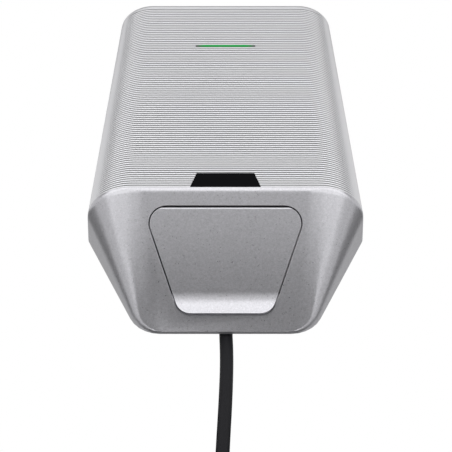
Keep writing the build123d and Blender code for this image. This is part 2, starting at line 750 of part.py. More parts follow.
# Rear tray, open to the front, with bosses for the wall screws, the board and the cover screws
board_low = BOARD_LEVEL + BOARD_HEIGHT / 2
with BuildPart() as rear_housing:
    with BuildSketch(wall_plane(0)):
        add(housing_outline())
    extrude(amount=HOUSING_DEPTH)
    with BuildSketch(wall_plane(-WALL)):
        add(housing_outline(WALL))
    extrude(amount=HOUSING_DEPTH, mode=Mode.SUBTRACT)
    with BuildSketch(wall_plane(-WALL)):
        with Locations((0, -NOSE_Z)):
            with GridLocations(WALL_SCREW_X, WALL_SCREW_Z, 2, 2):
                Circle(WALL_BOSS_R)
    extrude(amount=WALL_BOSS_HEIGHT)
    with BuildSketch(wall_plane(0)):
        with Locations((0, -NOSE_Z)):
            with GridLocations(WALL_SCREW_X, WALL_SCREW_Z, 2, 2):
                Circle(WALL_SCREW_R)
    extrude(amount=HOUSING_DEPTH, mode=Mode.SUBTRACT)
    with BuildSketch(wall_plane(-WALL)):
        with Locations((0, board_low)):
            with GridLocations(BOARD_HOLE_X, BOARD_HOLE_Z, 2, 2):
                Circle(BOSS_R)
                Circle(SMALL_SCREW_R + SEAT_GAP, mode=Mode.SUBTRACT)
    extrude(amount=BOARD_STAND)
    with BuildSketch(Plane.XY.offset(HOUSING_Z + WALL)):
        with Locations((0, COVER_SCREW_Y)):
            with GridLocations(2 * COVER_SCREW_X, 1, 2, 1):
                Circle(BOSS_R)
    extrude(amount=BOSS_HEIGHT)
    with BuildSketch(Plane.XY.offset(HOUSING_Z)):
        with Locations((0, COVER_SCREW_Y)):
            with GridLocations(2 * COVER_SCREW_X, 1, 2, 1):
                Circle(SCREW_R + SEAT_GAP)
        with Locations((0, CABLE_Y)):
            Circle(GLAND_R + SEAT_GAP)
    extrude(amount=WALL + BOSS_HEIGHT - SCREW_R, mode=Mode.SUBTRACT)
rear_housing.part.label = "rear_housing"
export_step(rear_housing.part, "parts/rear_housing.step")

# Seal on the tray's front edge
with BuildPart() as housing_seal:
    with BuildSketch(wall_plane(SEAL_Y)):
        add(housing_outline())
        add(housing_outline(WALL), mode=Mode.SUBTRACT)
    extrude(amount=SEAL_THICK)
housing_seal.part.label = "housing_seal"
export_step(housing_seal.part, "parts/housing_seal.step")

# Screws of the covers: through the joint flanges, and up into the tray's bottom wall
with BuildPart(Plane.XY.offset(PARTING_Z - LEDGE_THICK)) as joint_screws:
    with Locations((0, JOINT_SCREW_Y)):
        with GridLocations(JOINT_SCREW_X, 1, 3, 1):
            with Locations(Rotation(180, 0, 0)):
                add_screw(SCREW_R, SCREW_HEAD_R, SCREW_HEAD, 2 * LEDGE_THICK)
joint_screws.part.label = "joint_screws"
export_step(joint_screws.part, "parts/joint_screws.step")

with BuildPart(Plane.XY.offset(HOUSING_Z - SEAT_GAP - LEDGE_THICK)) as cover_screws:
    with Locations((0, COVER_SCREW_Y)):
        with GridLocations(2 * COVER_SCREW_X, 1, 2, 1):
            with Locations(Rotation(180, 0, 0)):
                add_screw(SCREW_R, SCREW_HEAD_R, SCREW_HEAD, SCREW_LENGTH)
cover_screws.part.label = "cover_screws"
export_step(cover_screws.part, "parts/cover_screws.step")

# Badge plate in its recess, left bare
with BuildPart() as badge_plate:
    with BuildSketch(wall_plane(FRONT_Y + BADGE_THICK)):
        add(badge_outline(BADGE_GAP))
    extrude(amount=BADGE_THICK + BADGE_PROUD)
badge_plate.part.label = "badge_plate"
export_step(badge_plate.part, "parts/badge_plate.step")

# Light bar in its slot, with a flange behind the cover's wall, and the board behind it
with BuildPart() as light_bar:
    with BuildSketch(wall_plane(FRONT_Y + WALL)):
        with Locations((0, LIGHT_LEVEL)):
            Rectangle(LIGHT_LENGTH - 2 * SEAT_GAP, LIGHT_HEIGHT - 2 * SEAT_GAP)
    extrude(amount=WALL - RIB_DEPTH / 2)
    with BuildSketch(wall_plane(FRONT_Y + WALL)):
        with Locations((0, LIGHT_LEVEL)):
            Rectangle(LIGHT_LENGTH + 2 * LIGHT_FLANGE, LIGHT_HEIGHT + 2 * LIGHT_FLANGE)
    extrude(amount=-LIGHT_FLANGE)
light_bar.part.label = "light_bar"
export_step(light_bar.part, "parts/light_bar.step")

with BuildPart() as led_board:
    with BuildSketch(wall_plane(FRONT_Y + WALL + LIGHT_FLANGE)):
        with Locations((0, LIGHT_LEVEL)):
            Rectangle(LED_BOARD_WIDTH, LED_BOARD_HEIGHT)
    extrude(amount=-BOARD_THICK)
led_board.part.label = "led_board"
export_step(led_board.part, "parts/led_board.step")

# Main board on its bosses, and what stands on it
with BuildPart() as main_board:
    with BuildSketch(wall_plane(BOARD_Y)):
        with Locations((0, board_low)):
            Rectangle(BOARD_WIDTH, BOARD_HEIGHT)
            with GridLocations(BOARD_HOLE_X, BOARD_HOLE_Z, 2, 2):
                Circle(SMALL_SCREW_R + SEAT_GAP, mode=Mode.SUBTRACT)
    extrude(amount=BOARD_THICK)
main_board.part.label = "main_board"
export_step(main_board.part, "parts/main_board.step")

board_face = wall_plane(BOARD_Y - BOARD_THICK)
with BuildPart(board_face) as board_screws:
    with Locations((0, board_low)):
        with GridLocations(BOARD_HOLE_X, BOARD_HOLE_Z, 2, 2):
            add_screw(SMALL_SCREW_R, SMALL_HEAD_R, SMALL_HEAD, SMALL_LENGTH)
board_screws.part.label = "board_screws"
export_step(board_screws.part, "parts/board_screws.step")

with BuildPart() as relays:
    with BuildSketch(board_face):
        with Locations((0, RELAY_LEVEL)):
            with GridLocations(RELAY_PITCH, 1, 2, 1):
                Rectangle(RELAY_WIDTH, RELAY_HEIGHT)
    extrude(amount=RELAY_DEEP)
relays.part.label = "relays"
export_step(relays.part, "parts/relays.step")

with BuildPart() as transformer:
    with BuildSketch(board_face):
        with Locations((TRANSFORMER_X, SUPPLY_LEVEL)):
            Rectangle(TRANSFORMER_WIDTH, TRANSFORMER_HEIGHT)
    extrude(amount=TRANSFORMER_DEEP)
    with BuildSketch(wall_plane(BOARD_Y - BOARD_THICK - TRANSFORMER_DEEP / 4)):
        with Locations((TRANSFORMER_X, SUPPLY_LEVEL)):
            Rectangle(TRANSFORMER_WIDTH + 2 * COIL_FORMER, TRANSFORMER_HEIGHT - 2 * COIL_FORMER)
    extrude(amount=TRANSFORMER_DEEP / 2)
transformer.part.label = "transformer"
export_step(transformer.part, "parts/transformer.step")

with BuildPart() as capacitors:
    with BuildSketch(board_face):
        with Locations((CAPACITOR_X, SUPPLY_LEVEL)):
            with GridLocations(3 * CAPACITOR_R, 1, 3, 1):
                Circle(CAPACITOR_R)
    extrude(amount=CAPACITOR_HEIGHT)
capacitors.part.label = "capacitors"
export_step(capacitors.part, "parts/capacitors.step")

with BuildPart() as current_sensor:
    with BuildSketch(board_face):
        with Locations((SENSOR_X, TERMINAL_LEVEL)):
            Circle(SENSOR_R)
            Circle(SENSOR_BORE_R, mode=Mode.SUBTRACT)
    extrude(amount=SENSOR_THICK)
current_sensor.part.label = "current_sensor"
export_step(current_sensor.part, "parts/current_sensor.step")

with BuildPart() as terminal_block:
    with BuildSketch(board_face):
        with Locations((TERMINAL_X, TERMINAL_LEVEL)):
            Rectangle(TERMINAL_WIDTH, TERMINAL_HEIGHT)
    extrude(amount=TERMINAL_DEEP)
    with BuildSketch(Plane.XY.offset(NOSE_Z + TERMINAL_LEVEL - TERMINAL_HEIGHT / 2)):
        with Locations((TERMINAL_X, BOARD_Y - BOARD_THICK - TERMINAL_DEEP / 3)):
            with GridLocations(TERMINAL_WIDTH / TERMINAL_WAYS, 1, TERMINAL_WAYS, 1):
                Rectangle(TERMINAL_MOUTH, TERMINAL_MOUTH)
    extrude(amount=TERMINAL_MOUTH, mode=Mode.SUBTRACT)
terminal_block.part.label = "terminal_block"
export_step(terminal_block.part, "parts/terminal_block.step")

with BuildPart() as radio_module:
    with BuildSketch(board_face):
        with Locations((RADIO_X, RADIO_LEVEL)):
            Rectangle(RADIO_WIDTH, RADIO_HEIGHT)
    extrude(amount=RADIO_DEEP)
radio_module.part.label = "radio_module"
export_step(radio_module.part, "parts/radio_module.step")

# Cable gland in the tray's bottom wall: threaded body, dome nut below and locknut inside
with BuildPart() as cable_gland:
    with BuildSketch(Plane.XY.offset(HOUSING_Z)):
        with Locations((0, CABLE_Y)):
            RegularPolygon(GLAND_FLATS / 2, 6, major_radius=False)
    extrude(amount=-GLAND_HEX)
    with BuildSketch(Plane.XY.offset(HOUSING_Z)):
        with Locations((0, CABLE_Y)):
            Circle(GLAND_R)
    extrude(amount=WALL + LOCKNUT + THREAD_END)
    with BuildSketch(Plane.XY.offset(HOUSING_Z - GLAND_HEX)):
        with Locations((0, CABLE_Y)):
            Circle(CABLE_R + CABLE_GAP)
    extrude(amount=GLAND_HEX + WALL + LOCKNUT + THREAD_END, mode=Mode.SUBTRACT)
cable_gland.part.label = "cable_gland"
export_step(cable_gland.part, "parts/cable_gland.step")

with BuildPart() as gland_nut:
    with BuildSketch(Plane.XY.offset(HOUSING_Z - GLAND_HEX)):
        with Locations((0, CABLE_Y)):
            RegularPolygon(GLAND_NUT_FLATS / 2, 6, major_radius=False)
    extrude(amount=-GLAND_NUT)
    chamfer(gland_nut.faces().sort_by(Axis.Z)[0].edges(), length=GLAND_NUT_EASE)
    with BuildSketch(Plane.XY.offset(HOUSING_Z - GLAND_HEX)):
        with Locations((0, CABLE_Y)):
            Circle(CABLE_R + CABLE_GAP)
    extrude(amount=-GLAND_NUT, mode=Mode.SUBTRACT)
gland_nut.part.label = "gland_nut"
export_step(gland_nut.part, "parts/gland_nut.step")

with BuildPart() as gland_locknut:
    with BuildSketch(Plane.XY.offset(HOUSING_Z + WALL)):
        with Locations((0, CABLE_Y)):
            RegularPolygon(LOCKNUT_FLATS / 2, 6, major_radius=False)
            Circle(GLAND_R + SEAT_GAP, mode=Mode.SUBTRACT)
    extrude(amount=LOCKNUT)
gland_locknut.part.label = "gland_locknut"
export_step(gland_locknut.part, "parts/gland_locknut.step")

# Coil of the length that is put away, flat to the wall, with its tie
coil_centre = (COIL_X, COIL_Y, NOSE_Z + COIL_LEVEL)
with BuildPart() as cable_coil:
    with BuildSketch(Plane(origin=coil_centre, x_dir=(1, 0, 0), z_dir=(0, 0, 1))):
        with Locations((COIL_MEAN_R, 0)):
            Rectangle(2 * COIL_HALF, COIL_BUNDLE)
    revolve(axis=Axis(coil_centre, (0, 1, 0)))
cable_coil.part.label = "cable_coil"
export_step(cable_coil.part, "parts/cable_coil.step")

with BuildPart() as cable_tie:
    with BuildSketch(Plane(origin=coil_centre, x_dir=(0, 1, 0), z_dir=(1, 0, 0))):
        with Locations((0, COIL_MEAN_R)):
            Rectangle(COIL_BUNDLE + 2 * TIE_THICK, 2 * COIL_HALF + 2 * TIE_THICK)
    extrude(amount=TIE_WIDTH / 2, both=True)
    add(cable_coil.part, mode=Mode.SUBTRACT)
cable_tie.part.label = "cable_tie"
export_step(cable_tie.part, "parts/cable_tie.step")

# Hanging run of the supply cable, straight runs joined by wide arcs
route = [Vector(x, y, NOSE_Z + level) for x, y, level in CABLE_ROUTE]
bends = []
for before, corner, after in zip(route, route[1:], route[2:]):
    turn = radians((corner - before).get_angle(after - corner))
    bends.append(ROUND_SHARE * min((corner - before).length, (after - corner).length) / tan(turn / 2))
print("cable bend radii", [round(bend) for bend in bends])
with BuildPart() as supply_cable:
    with BuildLine() as cable_line:
        FilletPolyline(*route, radius=bends)
    with BuildSketch(Plane(origin=route[0], z_dir=cable_line.line % 0)):
        Circle(CABLE_R)
    sweep()
    add(cable_coil.part, mode=Mode.SUBTRACT)
supply_cable.part.label = "supply_cable"
export_step(supply_cable.part, "parts/supply_cable.step")

# Stripped end of the cable: cores and their ferrules, hanging from the coil
core_top = Plane(
    origin=(COIL_X + COIL_MEAN_R, COIL_Y - COIL_BUNDLE / 4, NOSE_Z + COIL_LEVEL),
    z_dir=(0, 0, -1),
)
with BuildPart() as supply_cores:
    with BuildSketch(core_top):
        with PolarLocations(CORE_CIRCLE, CORE_COUNT):
            Circle(CORE_R)
    extrude(amount=CORE_LENGTH)
    add(cable_coil.part, mode=Mode.SUBTRACT)
supply_cores.part.label = "supply_cores"
export_step(supply_cores.part, "parts/supply_cores.step")

with BuildPart() as core_ferrules:
    with BuildSketch(core_top.offset(CORE_LENGTH)):
        with PolarLocations(CORE_CIRCLE, CORE_COUNT):
            Circle(FERRULE_R)
    extrude(amount=FERRULE_LENGTH)
core_ferrules.part.label = "core_ferrules"
export_step(core_ferrules.part, "parts/core_ferrules.step")
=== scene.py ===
"""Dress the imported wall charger: ribbed cover, sloping lower cover, sprung flap, supply lead and studio.

The frame is the part's own: X to the right, Y into the wall, Z up, with the origin on the wall in the
middle of the four wall screws. Sizes in the dataclasses are millimetres, and meshes are in metres.
Heights called "level" are measured from the nose, where the ribbed front turns into the sloping face.
"""

from __future__ import annotations

import logging
import math
from collections.abc import Callable, Sequence
from dataclasses import dataclass, field
from enum import Enum

import bmesh
import bpy
from mathutils import Matrix, Vector

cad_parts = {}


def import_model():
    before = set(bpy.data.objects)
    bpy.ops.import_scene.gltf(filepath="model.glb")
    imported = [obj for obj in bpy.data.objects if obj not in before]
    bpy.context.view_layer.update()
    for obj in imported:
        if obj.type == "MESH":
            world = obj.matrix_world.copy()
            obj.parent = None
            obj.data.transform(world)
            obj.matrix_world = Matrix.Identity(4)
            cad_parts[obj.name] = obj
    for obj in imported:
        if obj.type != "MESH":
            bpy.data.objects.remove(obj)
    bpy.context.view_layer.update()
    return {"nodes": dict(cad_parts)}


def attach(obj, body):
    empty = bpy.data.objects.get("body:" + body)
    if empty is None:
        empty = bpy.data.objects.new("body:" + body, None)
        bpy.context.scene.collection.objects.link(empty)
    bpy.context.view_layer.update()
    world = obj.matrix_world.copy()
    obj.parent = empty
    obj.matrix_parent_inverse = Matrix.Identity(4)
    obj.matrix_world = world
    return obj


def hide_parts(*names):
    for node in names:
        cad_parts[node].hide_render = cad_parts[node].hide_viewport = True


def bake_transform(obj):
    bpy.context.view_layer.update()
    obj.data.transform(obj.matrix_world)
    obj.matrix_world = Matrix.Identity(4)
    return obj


LOG = logging.getLogger("wall_charger")
MM = 0.001
Colour = tuple[float, float, float]
Point = tuple[float, float, float]
# Shape of an eased edge: a quarter of a circle
ROUND_PROFILE = 0.5
# Middle of the far end of the lead's sheath, with its height as a level
CORE_END: Point = (-5.0, -21.5, -336.0)


class Body(Enum):
    """Bodies that the scene's own pieces ride on."""

    HOUSING = "housing"
    FLAP = "flap"


class WireLine(Enum):
    """How a wire follows its points."""

    STRAIGHT = "POLY"
    CURVED = "NURBS"


@dataclass(frozen=True)
class BoxForm:
    """Outer form that the covers share."""

    nose_z: float = -85.0
    rim_y: float = -22.0
    depth: float = 71.0
    nose_half: float = 130.0
    top_half: float = 107.8
    upper_height: float = 253.0
    lower_height: float = 111.2
    bottom_edge: float = 3.5
    nose_corner: float = 42.2
    top_corner: float = 33.7
    side_draft: float = 0.036
    wall: float = 3.0

    @property
    def front_y(self) -> float:
        """Place of the ribs' crests."""
        return self.rim_y - self.depth

    @property
    def tilt(self) -> float:
        """Lean of the lower face."""
        return math.atan((self.depth - self.bottom_edge) / self.lower_height)

    def half_width(self, level: float) -> float:
        """Half width of the upper cover at its rim."""
        return self.nose_half + (self.top_half - self.nose_half) * level / self.upper_height

    def corner(self, level: float) -> float:
        """Radius of the upper cover's upright corners."""
        return self.nose_corner + (self.top_corner - self.nose_corner) * level / self.upper_height

    def at(self, x: float, y: float, level: float) -> Vector:
        """A point in metres, by its level above the nose."""
        return Vector((x, y, self.nose_z + level)) * MM

    def on_slope(self, x: float, drop: float, depth: float) -> Vector:
        """Find a point from the sloping face.

        Args:
            x: Distance to the right of the middle.
            drop: Distance down the slope from the nose.
            depth: Distance behind the face.

        Returns:
            The point in metres.
        """
        lean = self.tilt
        y = self.front_y + drop * math.sin(lean) + depth * math.cos(lean)
        z = self.nose_z - drop * math.cos(lean) + depth * math.sin(lean)
        return Vector((x, y, z)) * MM

    def from_nose(self, point: Vector) -> tuple[float, float]:
        """Distance of a point behind the nose and above it, in millimetres."""
        return point.y / MM - self.front_y, point.z / MM - self.nose_z

    def slope_depth(self, point: Vector) -> float:
        """Depth of a point behind the sloping face, in millimetres."""
        y, z = self.from_nose(point)
        return y * math.cos(self.tilt) + z * math.sin(self.tilt)

    def slope_drop(self, point: Vector) -> float:
        """Distance of a point down the slope, in millimetres."""
        y, z = self.from_nose(point)
        return y * math.sin(self.tilt) - z * math.cos(self.tilt)


FORM = BoxForm()


class Value:
    """A node's output socket that takes Python's arithmetic."""

    def __init__(self, graph: Graph, socket: bpy.types.NodeSocket) -> None:
        """Keep the graph and its socket."""
        self.graph = graph
        self.socket = socket

    def _math(self, operation: str, first: Value | float, second: Value | float = 0.0) -> Value:
        """Add one Math node."""
        return self.graph.add("ShaderNodeMath", {"operation": operation}, {0: first, 1: second})

    def __add__(self, other: Value | float) -> Value:
        """Sum."""
        return self._math("ADD", self, other)

    __radd__ = __add__

    def __sub__(self, other: Value | float) -> Value:
        """Difference."""
        return self._math("SUBTRACT", self, other)

    def __rsub__(self, other: Value | float) -> Value:
        """Difference from a number."""
        return self._math("SUBTRACT", other, self)

    def __mul__(self, other: Value | float) -> Value:
        """Product."""
        return self._math("MULTIPLY", self, other)

    __rmul__ = __mul__

    def __truediv__(self, other: Value | float) -> Value:
        """Quotient."""
        return self._math("DIVIDE", self, other)

    def __rtruediv__(self, other: Value | float) -> Value:
        """Quotient of a number."""
        return self._math("DIVIDE", other, self)

    def __pow__(self, other: Value | float) -> Value:
        """Power."""
        return self._math("POWER", self, other)

    def __gt__(self, other: Value | float) -> Value:
        """One where larger, else zero."""
        return self._math("GREATER_THAN", self, other)

    def __abs__(self) -> Value:
        """Size without sign."""
        return self._math("ABSOLUTE", self)

    def fraction(self) -> Value:
        """Part after the decimal point."""
        return self._math("FRACT", self)

    def angle_to(self, other: Value) -> Value:
        """Angle of the point (other, self) about the origin."""
        return self._math("ARCTAN2", self, other)


class Graph:
    """A node tree with one method for every node."""

    def __init__(self, tree: bpy.types.NodeTree) -> None:
        """Keep the tree."""
        self.tree = tree

    @classmethod
    def of(cls, owner: bpy.types.Material | bpy.types.World) -> Graph:
        """Start the empty tree of a material or of the world.

        Args:
            owner: The material or world.

        Returns:
            Its tree, with no nodes.
        """
        owner.use_nodes = True
        owner.node_tree.nodes.clear()
        return cls(owner.node_tree)

    def add(
        self,
        kind: str,
        settings: dict[str, object] | None = None,
        values: dict[int | str, object] | None = None,
        out: int | str = 0,
    ) -> Value:
        """Add a node.

        Args:
            kind: Type of the node.
            settings: What is set on the node first; "stops" are a ramp's places and colours.
            values: Numbers, links or data for its inputs, by place or name.
            out: The output that is given back.

        Returns:
            The chosen output.
        """
        node = self.tree.nodes.new(kind)
        for name, setting in (settings or {}).items():
            if name == "stops":
                self._set_stops(node, setting)
            else:
                setattr(node, name, setting)
        for key, value in (values or {}).items():
            socket = node.inputs[key]
            if isinstance(value, Value):
                self.tree.links.new(value.socket, socket)
            else:
                socket.default_value = value
        return Value(self, node.outputs[out]) if len(node.outputs) else Value(self, node.inputs[0])

    @staticmethod
    def _set_stops(node: bpy.types.Node, stops: Sequence[tuple[float, Colour]]) -> None:
        """Give a ramp its stops.

        Args:
            node: The ramp's node.
            stops: Place and colour of each stop.
        """
        ramp = node.color_ramp.elements
        while len(ramp) > 1:
            ramp.remove(ramp[-1])
        for number, (place, colour) in enumerate(stops):
            stop = ramp[0] if number == 0 else ramp.new(place)
            stop.position = place
            stop.color = (*colour, 1.0)

    def split(self, vector: Value) -> tuple[Value, Value, Value]:
        """Take a vector apart.

        Args:
            vector: The vector.

        Returns:
            Its three parts.
        """
        x = self.add("ShaderNodeSeparateXYZ", {}, {0: vector})
        outputs = x.socket.node.outputs
        return x, Value(self, outputs[1]), Value(self, outputs[2])

    def mix(self, share: Value, low: Colour | Value, high: Colour | Value) -> Value:
        """Mix two colours by a share.

        Args:
            share: Share of the second colour.
            low: First colour.
            high: Second colour.

        Returns:
            The mixed colour.
        """
        ends = [(*end, 1.0) if isinstance(end, tuple) else end for end in (low, high)]
        return self.add(
            "ShaderNodeMix", {"data_type": "RGBA"}, {0: share, 6: ends[0], 7: ends[1]}, out=2
        )

    def ease(self, value: Value, start: float, end: float) -> Value:
        """Ease from nought at the start to one at the end.

        Args:
            value: Value that is eased.
            start: Where it is nought.
            end: Where it is one.

        Returns:
            The eased value.
        """
        return self.add(
            "ShaderNodeMapRange", {"interpolation_type": "SMOOTHSTEP"}, {0: value, 1: start, 2: end}
        )


def object_point(graph: Graph) -> Value:
    """Object coordinates, which are the part's own frame in metres."""
    return graph.add("ShaderNodeTexCoord", out="Object")


def noise(graph: Graph, size: float, detail: float = 2.0, stretch: Point = (1, 1, 1)) -> Value:
    """Add noise from 0 to 1.

    Args:
        graph: Tree that it goes into.
        size: Size of its grains in millimetres.
        detail: Octaves.
        stretch: How much each axis is squeezed.

    Returns:
        The noise.
    """
    place = graph.add("ShaderNodeMapping", {}, {"Vector": object_point(graph), "Scale": stretch})
    return graph.add(
        "ShaderNodeTexNoise", {}, {"Vector": place, "Scale": 1 / (size * MM), "Detail": detail}
    )


def seen_rays(graph: Graph) -> Value:
    """Tell the rays that show the surroundings from those that light the part.

    Args:
        graph: Tree that it goes into.

    Returns:
        One for rays from the camera, from reflections and through clear pieces, and nought for the rest.
    """
    camera = graph.add("ShaderNodeLightPath", out="Is Camera Ray")
    outputs = camera.socket.node.outputs
    glossy = Value(graph, outputs["Is Glossy Ray"])
    through = Value(graph, outputs["Is Transmission Ray"])
    return (camera + glossy + through) > 0.5


@dataclass(frozen=True)
class Finish:
    """A surface finish; its subclasses say what varies over the surface.

    Sizes and relief are millimetres. A name that ends in shade or rough says how much the clouds or
    the grains change the colour or the roughness.
    """

    name: str
    colour: Colour
    roughness: float = 0.5
    metallic: float = 0.0
    specular: float = 0.5
    grain: float = 0.5
    relief: float = 0.02
    cloud: float = 60.0
    cloud_shade: float = 0.12
    cloud_rough: float = 0.06
    grain_shade: float = 0.10
    grain_rough: float = 0.10
    dark: float = 0.6
    bright: float = 1.3

    def material(self) -> bpy.types.Material:
        """Build the material once, and find it again later.

        Returns:
            The material.
        """
        found = bpy.data.materials.get(self.name)
        if found:
            return found
        made = bpy.data.materials.new(self.name)
        graph = Graph.of(made)
        values = {
            "Metallic": self.metallic,
            "Specular IOR Level": self.specular,
            **self.surface(graph),
        }
        shader = graph.add("ShaderNodeBsdfPrincipled", {}, values)
        graph.add("ShaderNodeOutputMaterial", {}, {"Surface": self.finished(graph, shader)})
        made.diffuse_color = (*self.colour, 1.0)
        return made

    def finished(self, graph: Graph, shader: Value) -> Value:
        """Leave the shader as it is."""
        return shader

    def surface(self, graph: Graph) -> dict[str, object]:
        """Vary colour, roughness and relief over the surface.

        Args:
            graph: Tree of the material.

        Returns:
            Inputs of the shader by name.
        """
        grains = noise(graph, self.grain)
        clouds = noise(graph, self.cloud, 3.0)
        shade = 1.0 - self.cloud_shade + self.cloud_shade * clouds + self.grain_shade * (grains - 0.5)
        return {
            "Base Color": graph.mix(shade, self.shaded(self.dark), self.colour),
            "Roughness": (
                self.roughness + self.grain_rough * (grains - 0.5) + self.cloud_rough * (clouds - 0.5)
            ),
            "Normal": self.bump(graph, grains),
        }

    def shaded(self, share: float) -> Colour:
        """A darker or lighter form of the colour."""
        return tuple(min(1.0, part * share) for part in self.colour)

    def bump(self, graph: Graph, height: Value) -> Value:
        """Turn a height from 0 to 1 into a normal."""
        return graph.add("ShaderNodeBump", {}, {"Height": height, "Distance": self.relief * MM})


@dataclass(frozen=True)
class MetallicPaint(Finish):
    """Paint with bright flakes of two sizes."""

    metallic: float = 0.85
    cloud: float = 90.0
    dark: float = 0.70
    flake: float = 0.45
    sparkle: float = 0.3
    contrast: float = 2.2
    coarse: float = 2.2
    fine_share: float = 0.6
    flake_rough: float = 0.14

    def surface(self, graph: Graph) -> dict[str, object]:
        """Scatter the flakes in the colour and the roughness.

        Args:
            graph: Tree of the material.

        Returns:
            Inputs of the shader by name.
        """
        fine = noise(graph, self.flake, 1.0)
        coarse = noise(graph, self.coarse * self.flake, 1.0)
        clouds = noise(graph, self.cloud, 2.0)
        flakes = self.fine_share * fine + (1.0 - self.fine_share) * coarse - 0.5
        share = 0.5 + self.sparkle * self.contrast * flakes + self.cloud_shade * (clouds - 0.5)
        return {
            "Base Color": graph.mix(share, self.shaded(self.dark), self.shaded(self.bright)),
            "Roughness": self.roughness + self.flake_rough * flakes,
            "Normal": self.bump(graph, fine),
        }


@dataclass(frozen=True)
class RibPaint(MetallicPaint):
    """Metallic paint that is rougher in the grooves between the ribs, with painted shade darkening them."""

    groove_name: str = "rib_groove"
    painted_groove_shade: float = 0.03
    groove_rough: float = 0.2

    def surface(self, graph: Graph) -> dict[str, object]:
        """Darken the colour towards the bottom of each groove with painted shade, and roughen it there.

        Args:
            graph: Tree of the material.

        Returns:
            Inputs of the shader by name.
        """
        values = super().surface(graph)
        groove = graph.add("ShaderNodeAttribute", {"attribute_name": self.groove_name}, out="Fac")
        # painted shade: the colour darkens to nearly black at the bottom of each groove
        values["Base Color"] = graph.mix(groove, values["Base Color"], self.shaded(self.painted_groove_shade))
        values["Roughness"] = values["Roughness"] + self.groove_rough * groove
        return values


@dataclass(frozen=True)
class FacePaint(MetallicPaint):
    """Metallic paint on a face whose shading bends away gently before its corners."""

    nose_flat: float = 87.8
    bottom_flat: float = 75.5
    reach: float = 13.0
    fall: float = 2.6

    def surface(self, graph: Graph) -> dict[str, object]:
        """Lean the shading outwards on both sides of the line where the corner starts.

        Args:
            graph: Tree of the material.

        Returns:
            Inputs of the shader by name.
        """
        values = super().surface(graph)
        x, _, z = graph.split(object_point(graph))
        taper = (self.nose_flat - self.bottom_flat) / FORM.lower_height
        beyond = abs(x) / MM - self.nose_flat - taper * (z / MM - FORM.nose_z)
        fallen = graph.ease(beyond, self.reach, -self.reach)
        values["Normal"] = graph.add(
            "ShaderNodeBump",
            {},
            {"Height": fallen, "Distance": self.fall * MM, "Normal": values["Normal"]},
        )
        return values


@dataclass(frozen=True)
class BrushedMetal(Finish):
    """Drawn or turned metal with faint streaks and stains."""

    metallic: float = 1.0
    grain: float = 0.3
    relief: float = 0.004
    dark: float = 0.72
    streak: Point = (1.0, 0.06, 1.0)
    stain: float = 8.0
    stain_share: float = 0.75
    streak_share: float = 0.35
    streak_rough: float = 0.18

    def surface(self, graph: Graph) -> dict[str, object]:
        """Stretch the grain along one axis.

        Args:
            graph: Tree of the material.

        Returns:
            Inputs of the shader by name.
        """
        streaks = noise(graph, self.grain, 3.0, self.streak)
        stains = noise(graph, self.stain, 3.0)
        share = self.stain_share * stains + self.streak_share * streaks
        return {
            "Base Color": graph.mix(share, self.shaded(self.dark), self.colour),
            "Roughness": self.roughness + self.streak_rough * (streaks - 0.5),
            "Normal": self.bump(graph, streaks),
        }


@dataclass(frozen=True)
class LitLens(Finish):
    """Green lens that is lit from behind and turns grey towards its ends."""

    grain_rough: float = 0.08
    dark: float = 0.15
    half_length: float = 29.5
    fade: float = 9.0
    glow: float = 0.85
    unlit: Colour = (0.17, 0.17, 0.175)
    lamp_pitch: float = 9.0
    least: float = 0.86
    spot: float = 0.28

    def surface(self, graph: Graph) -> dict[str, object]:
        """Fade the light towards both ends, with a soft spot at each lamp behind the lens.

        Args:
            graph: Tree of the material.

        Returns:
            Inputs of the shader by name.
        """
        x, _, _ = graph.split(object_point(graph))
        lit = graph.ease(abs(x) / MM, self.half_length, self.half_length - self.fade)
        spots = abs((x / (self.lamp_pitch * MM)).fraction() - 0.5)
        share = lit * (self.least + self.spot * spots)
        return {
            "Base Color": graph.mix(share, self.unlit, self.shaded(self.dark)),
            "Emission Color": graph.mix(share, (0.0, 0.0, 0.0), self.colour),
            "Emission Strength": self.glow,
            "Roughness": self.roughness + self.grain_rough * noise(graph, self.grain),
        }


@dataclass(frozen=True)
class StudioCard(Finish):
    """Card of one even tone, which only reflections show."""

    tone: float = 0.05

    def surface(self, graph: Graph) -> dict[str, object]:
        """Glow evenly.

        Args:
            graph: Tree of the material.

        Returns:
            Inputs of the shader by name.
        """
        return {
            "Base Color": (0.0, 0.0, 0.0, 1.0),
            "Emission Color": (1.0, 1.0, 1.0, 1.0),
            "Emission Strength": self.tone,
            "Roughness": 1.0,
        }


@dataclass(frozen=True)
class PaleFloor(Finish):
    """Floor that looks nearly white and still takes a shadow."""

    share: float = 0.75

    def finished(self, graph: Graph, shader: Value) -> Value:
        """Whiten what the camera and the reflections see of the floor.

        Args:
            graph: Tree of the material.
            shader: Shader of the plain floor.

        Returns:
            The mixed shader.
        """
        white = graph.add("ShaderNodeEmission", {}, {"Color": (1, 1, 1, 1), "Strength": 1.0})
        share = self.share * seen_rays(graph)
        return graph.add("ShaderNodeMixShader", {}, {0: share, 1: shader, 2: white})


@dataclass(frozen=True)
class CircuitBoard(Finish):
    """Solder mask over copper tracks; its cells are counted in a metre."""

    bright: float = 1.6
    cells: float = 160.0
    track_from: float = 0.55
    track_share: float = 0.7

    def surface(self, graph: Graph) -> dict[str, object]:
        """Lay out cells that stand for tracks and pads.

        Args:
            graph: Tree of the material.

        Returns:
            Inputs of the shader by name.
        """
        tracks = graph.add(
            "ShaderNodeTexVoronoi",
            {"distance": "MANHATTAN", "feature": "F1"},
            {"Vector": object_point(graph), "Scale": self.cells},
        )
        edge = tracks > self.track_from
        grains = noise(graph, self.grain)
        share = self.track_share * edge + (1.0 - self.track_share) * grains
        return {
            "Base Color": graph.mix(share, self.colour, self.shaded(self.bright)),
            "Roughness": self.roughness + self.grain_rough * (grains - 0.5),
            "Normal": self.bump(graph, edge),
        }


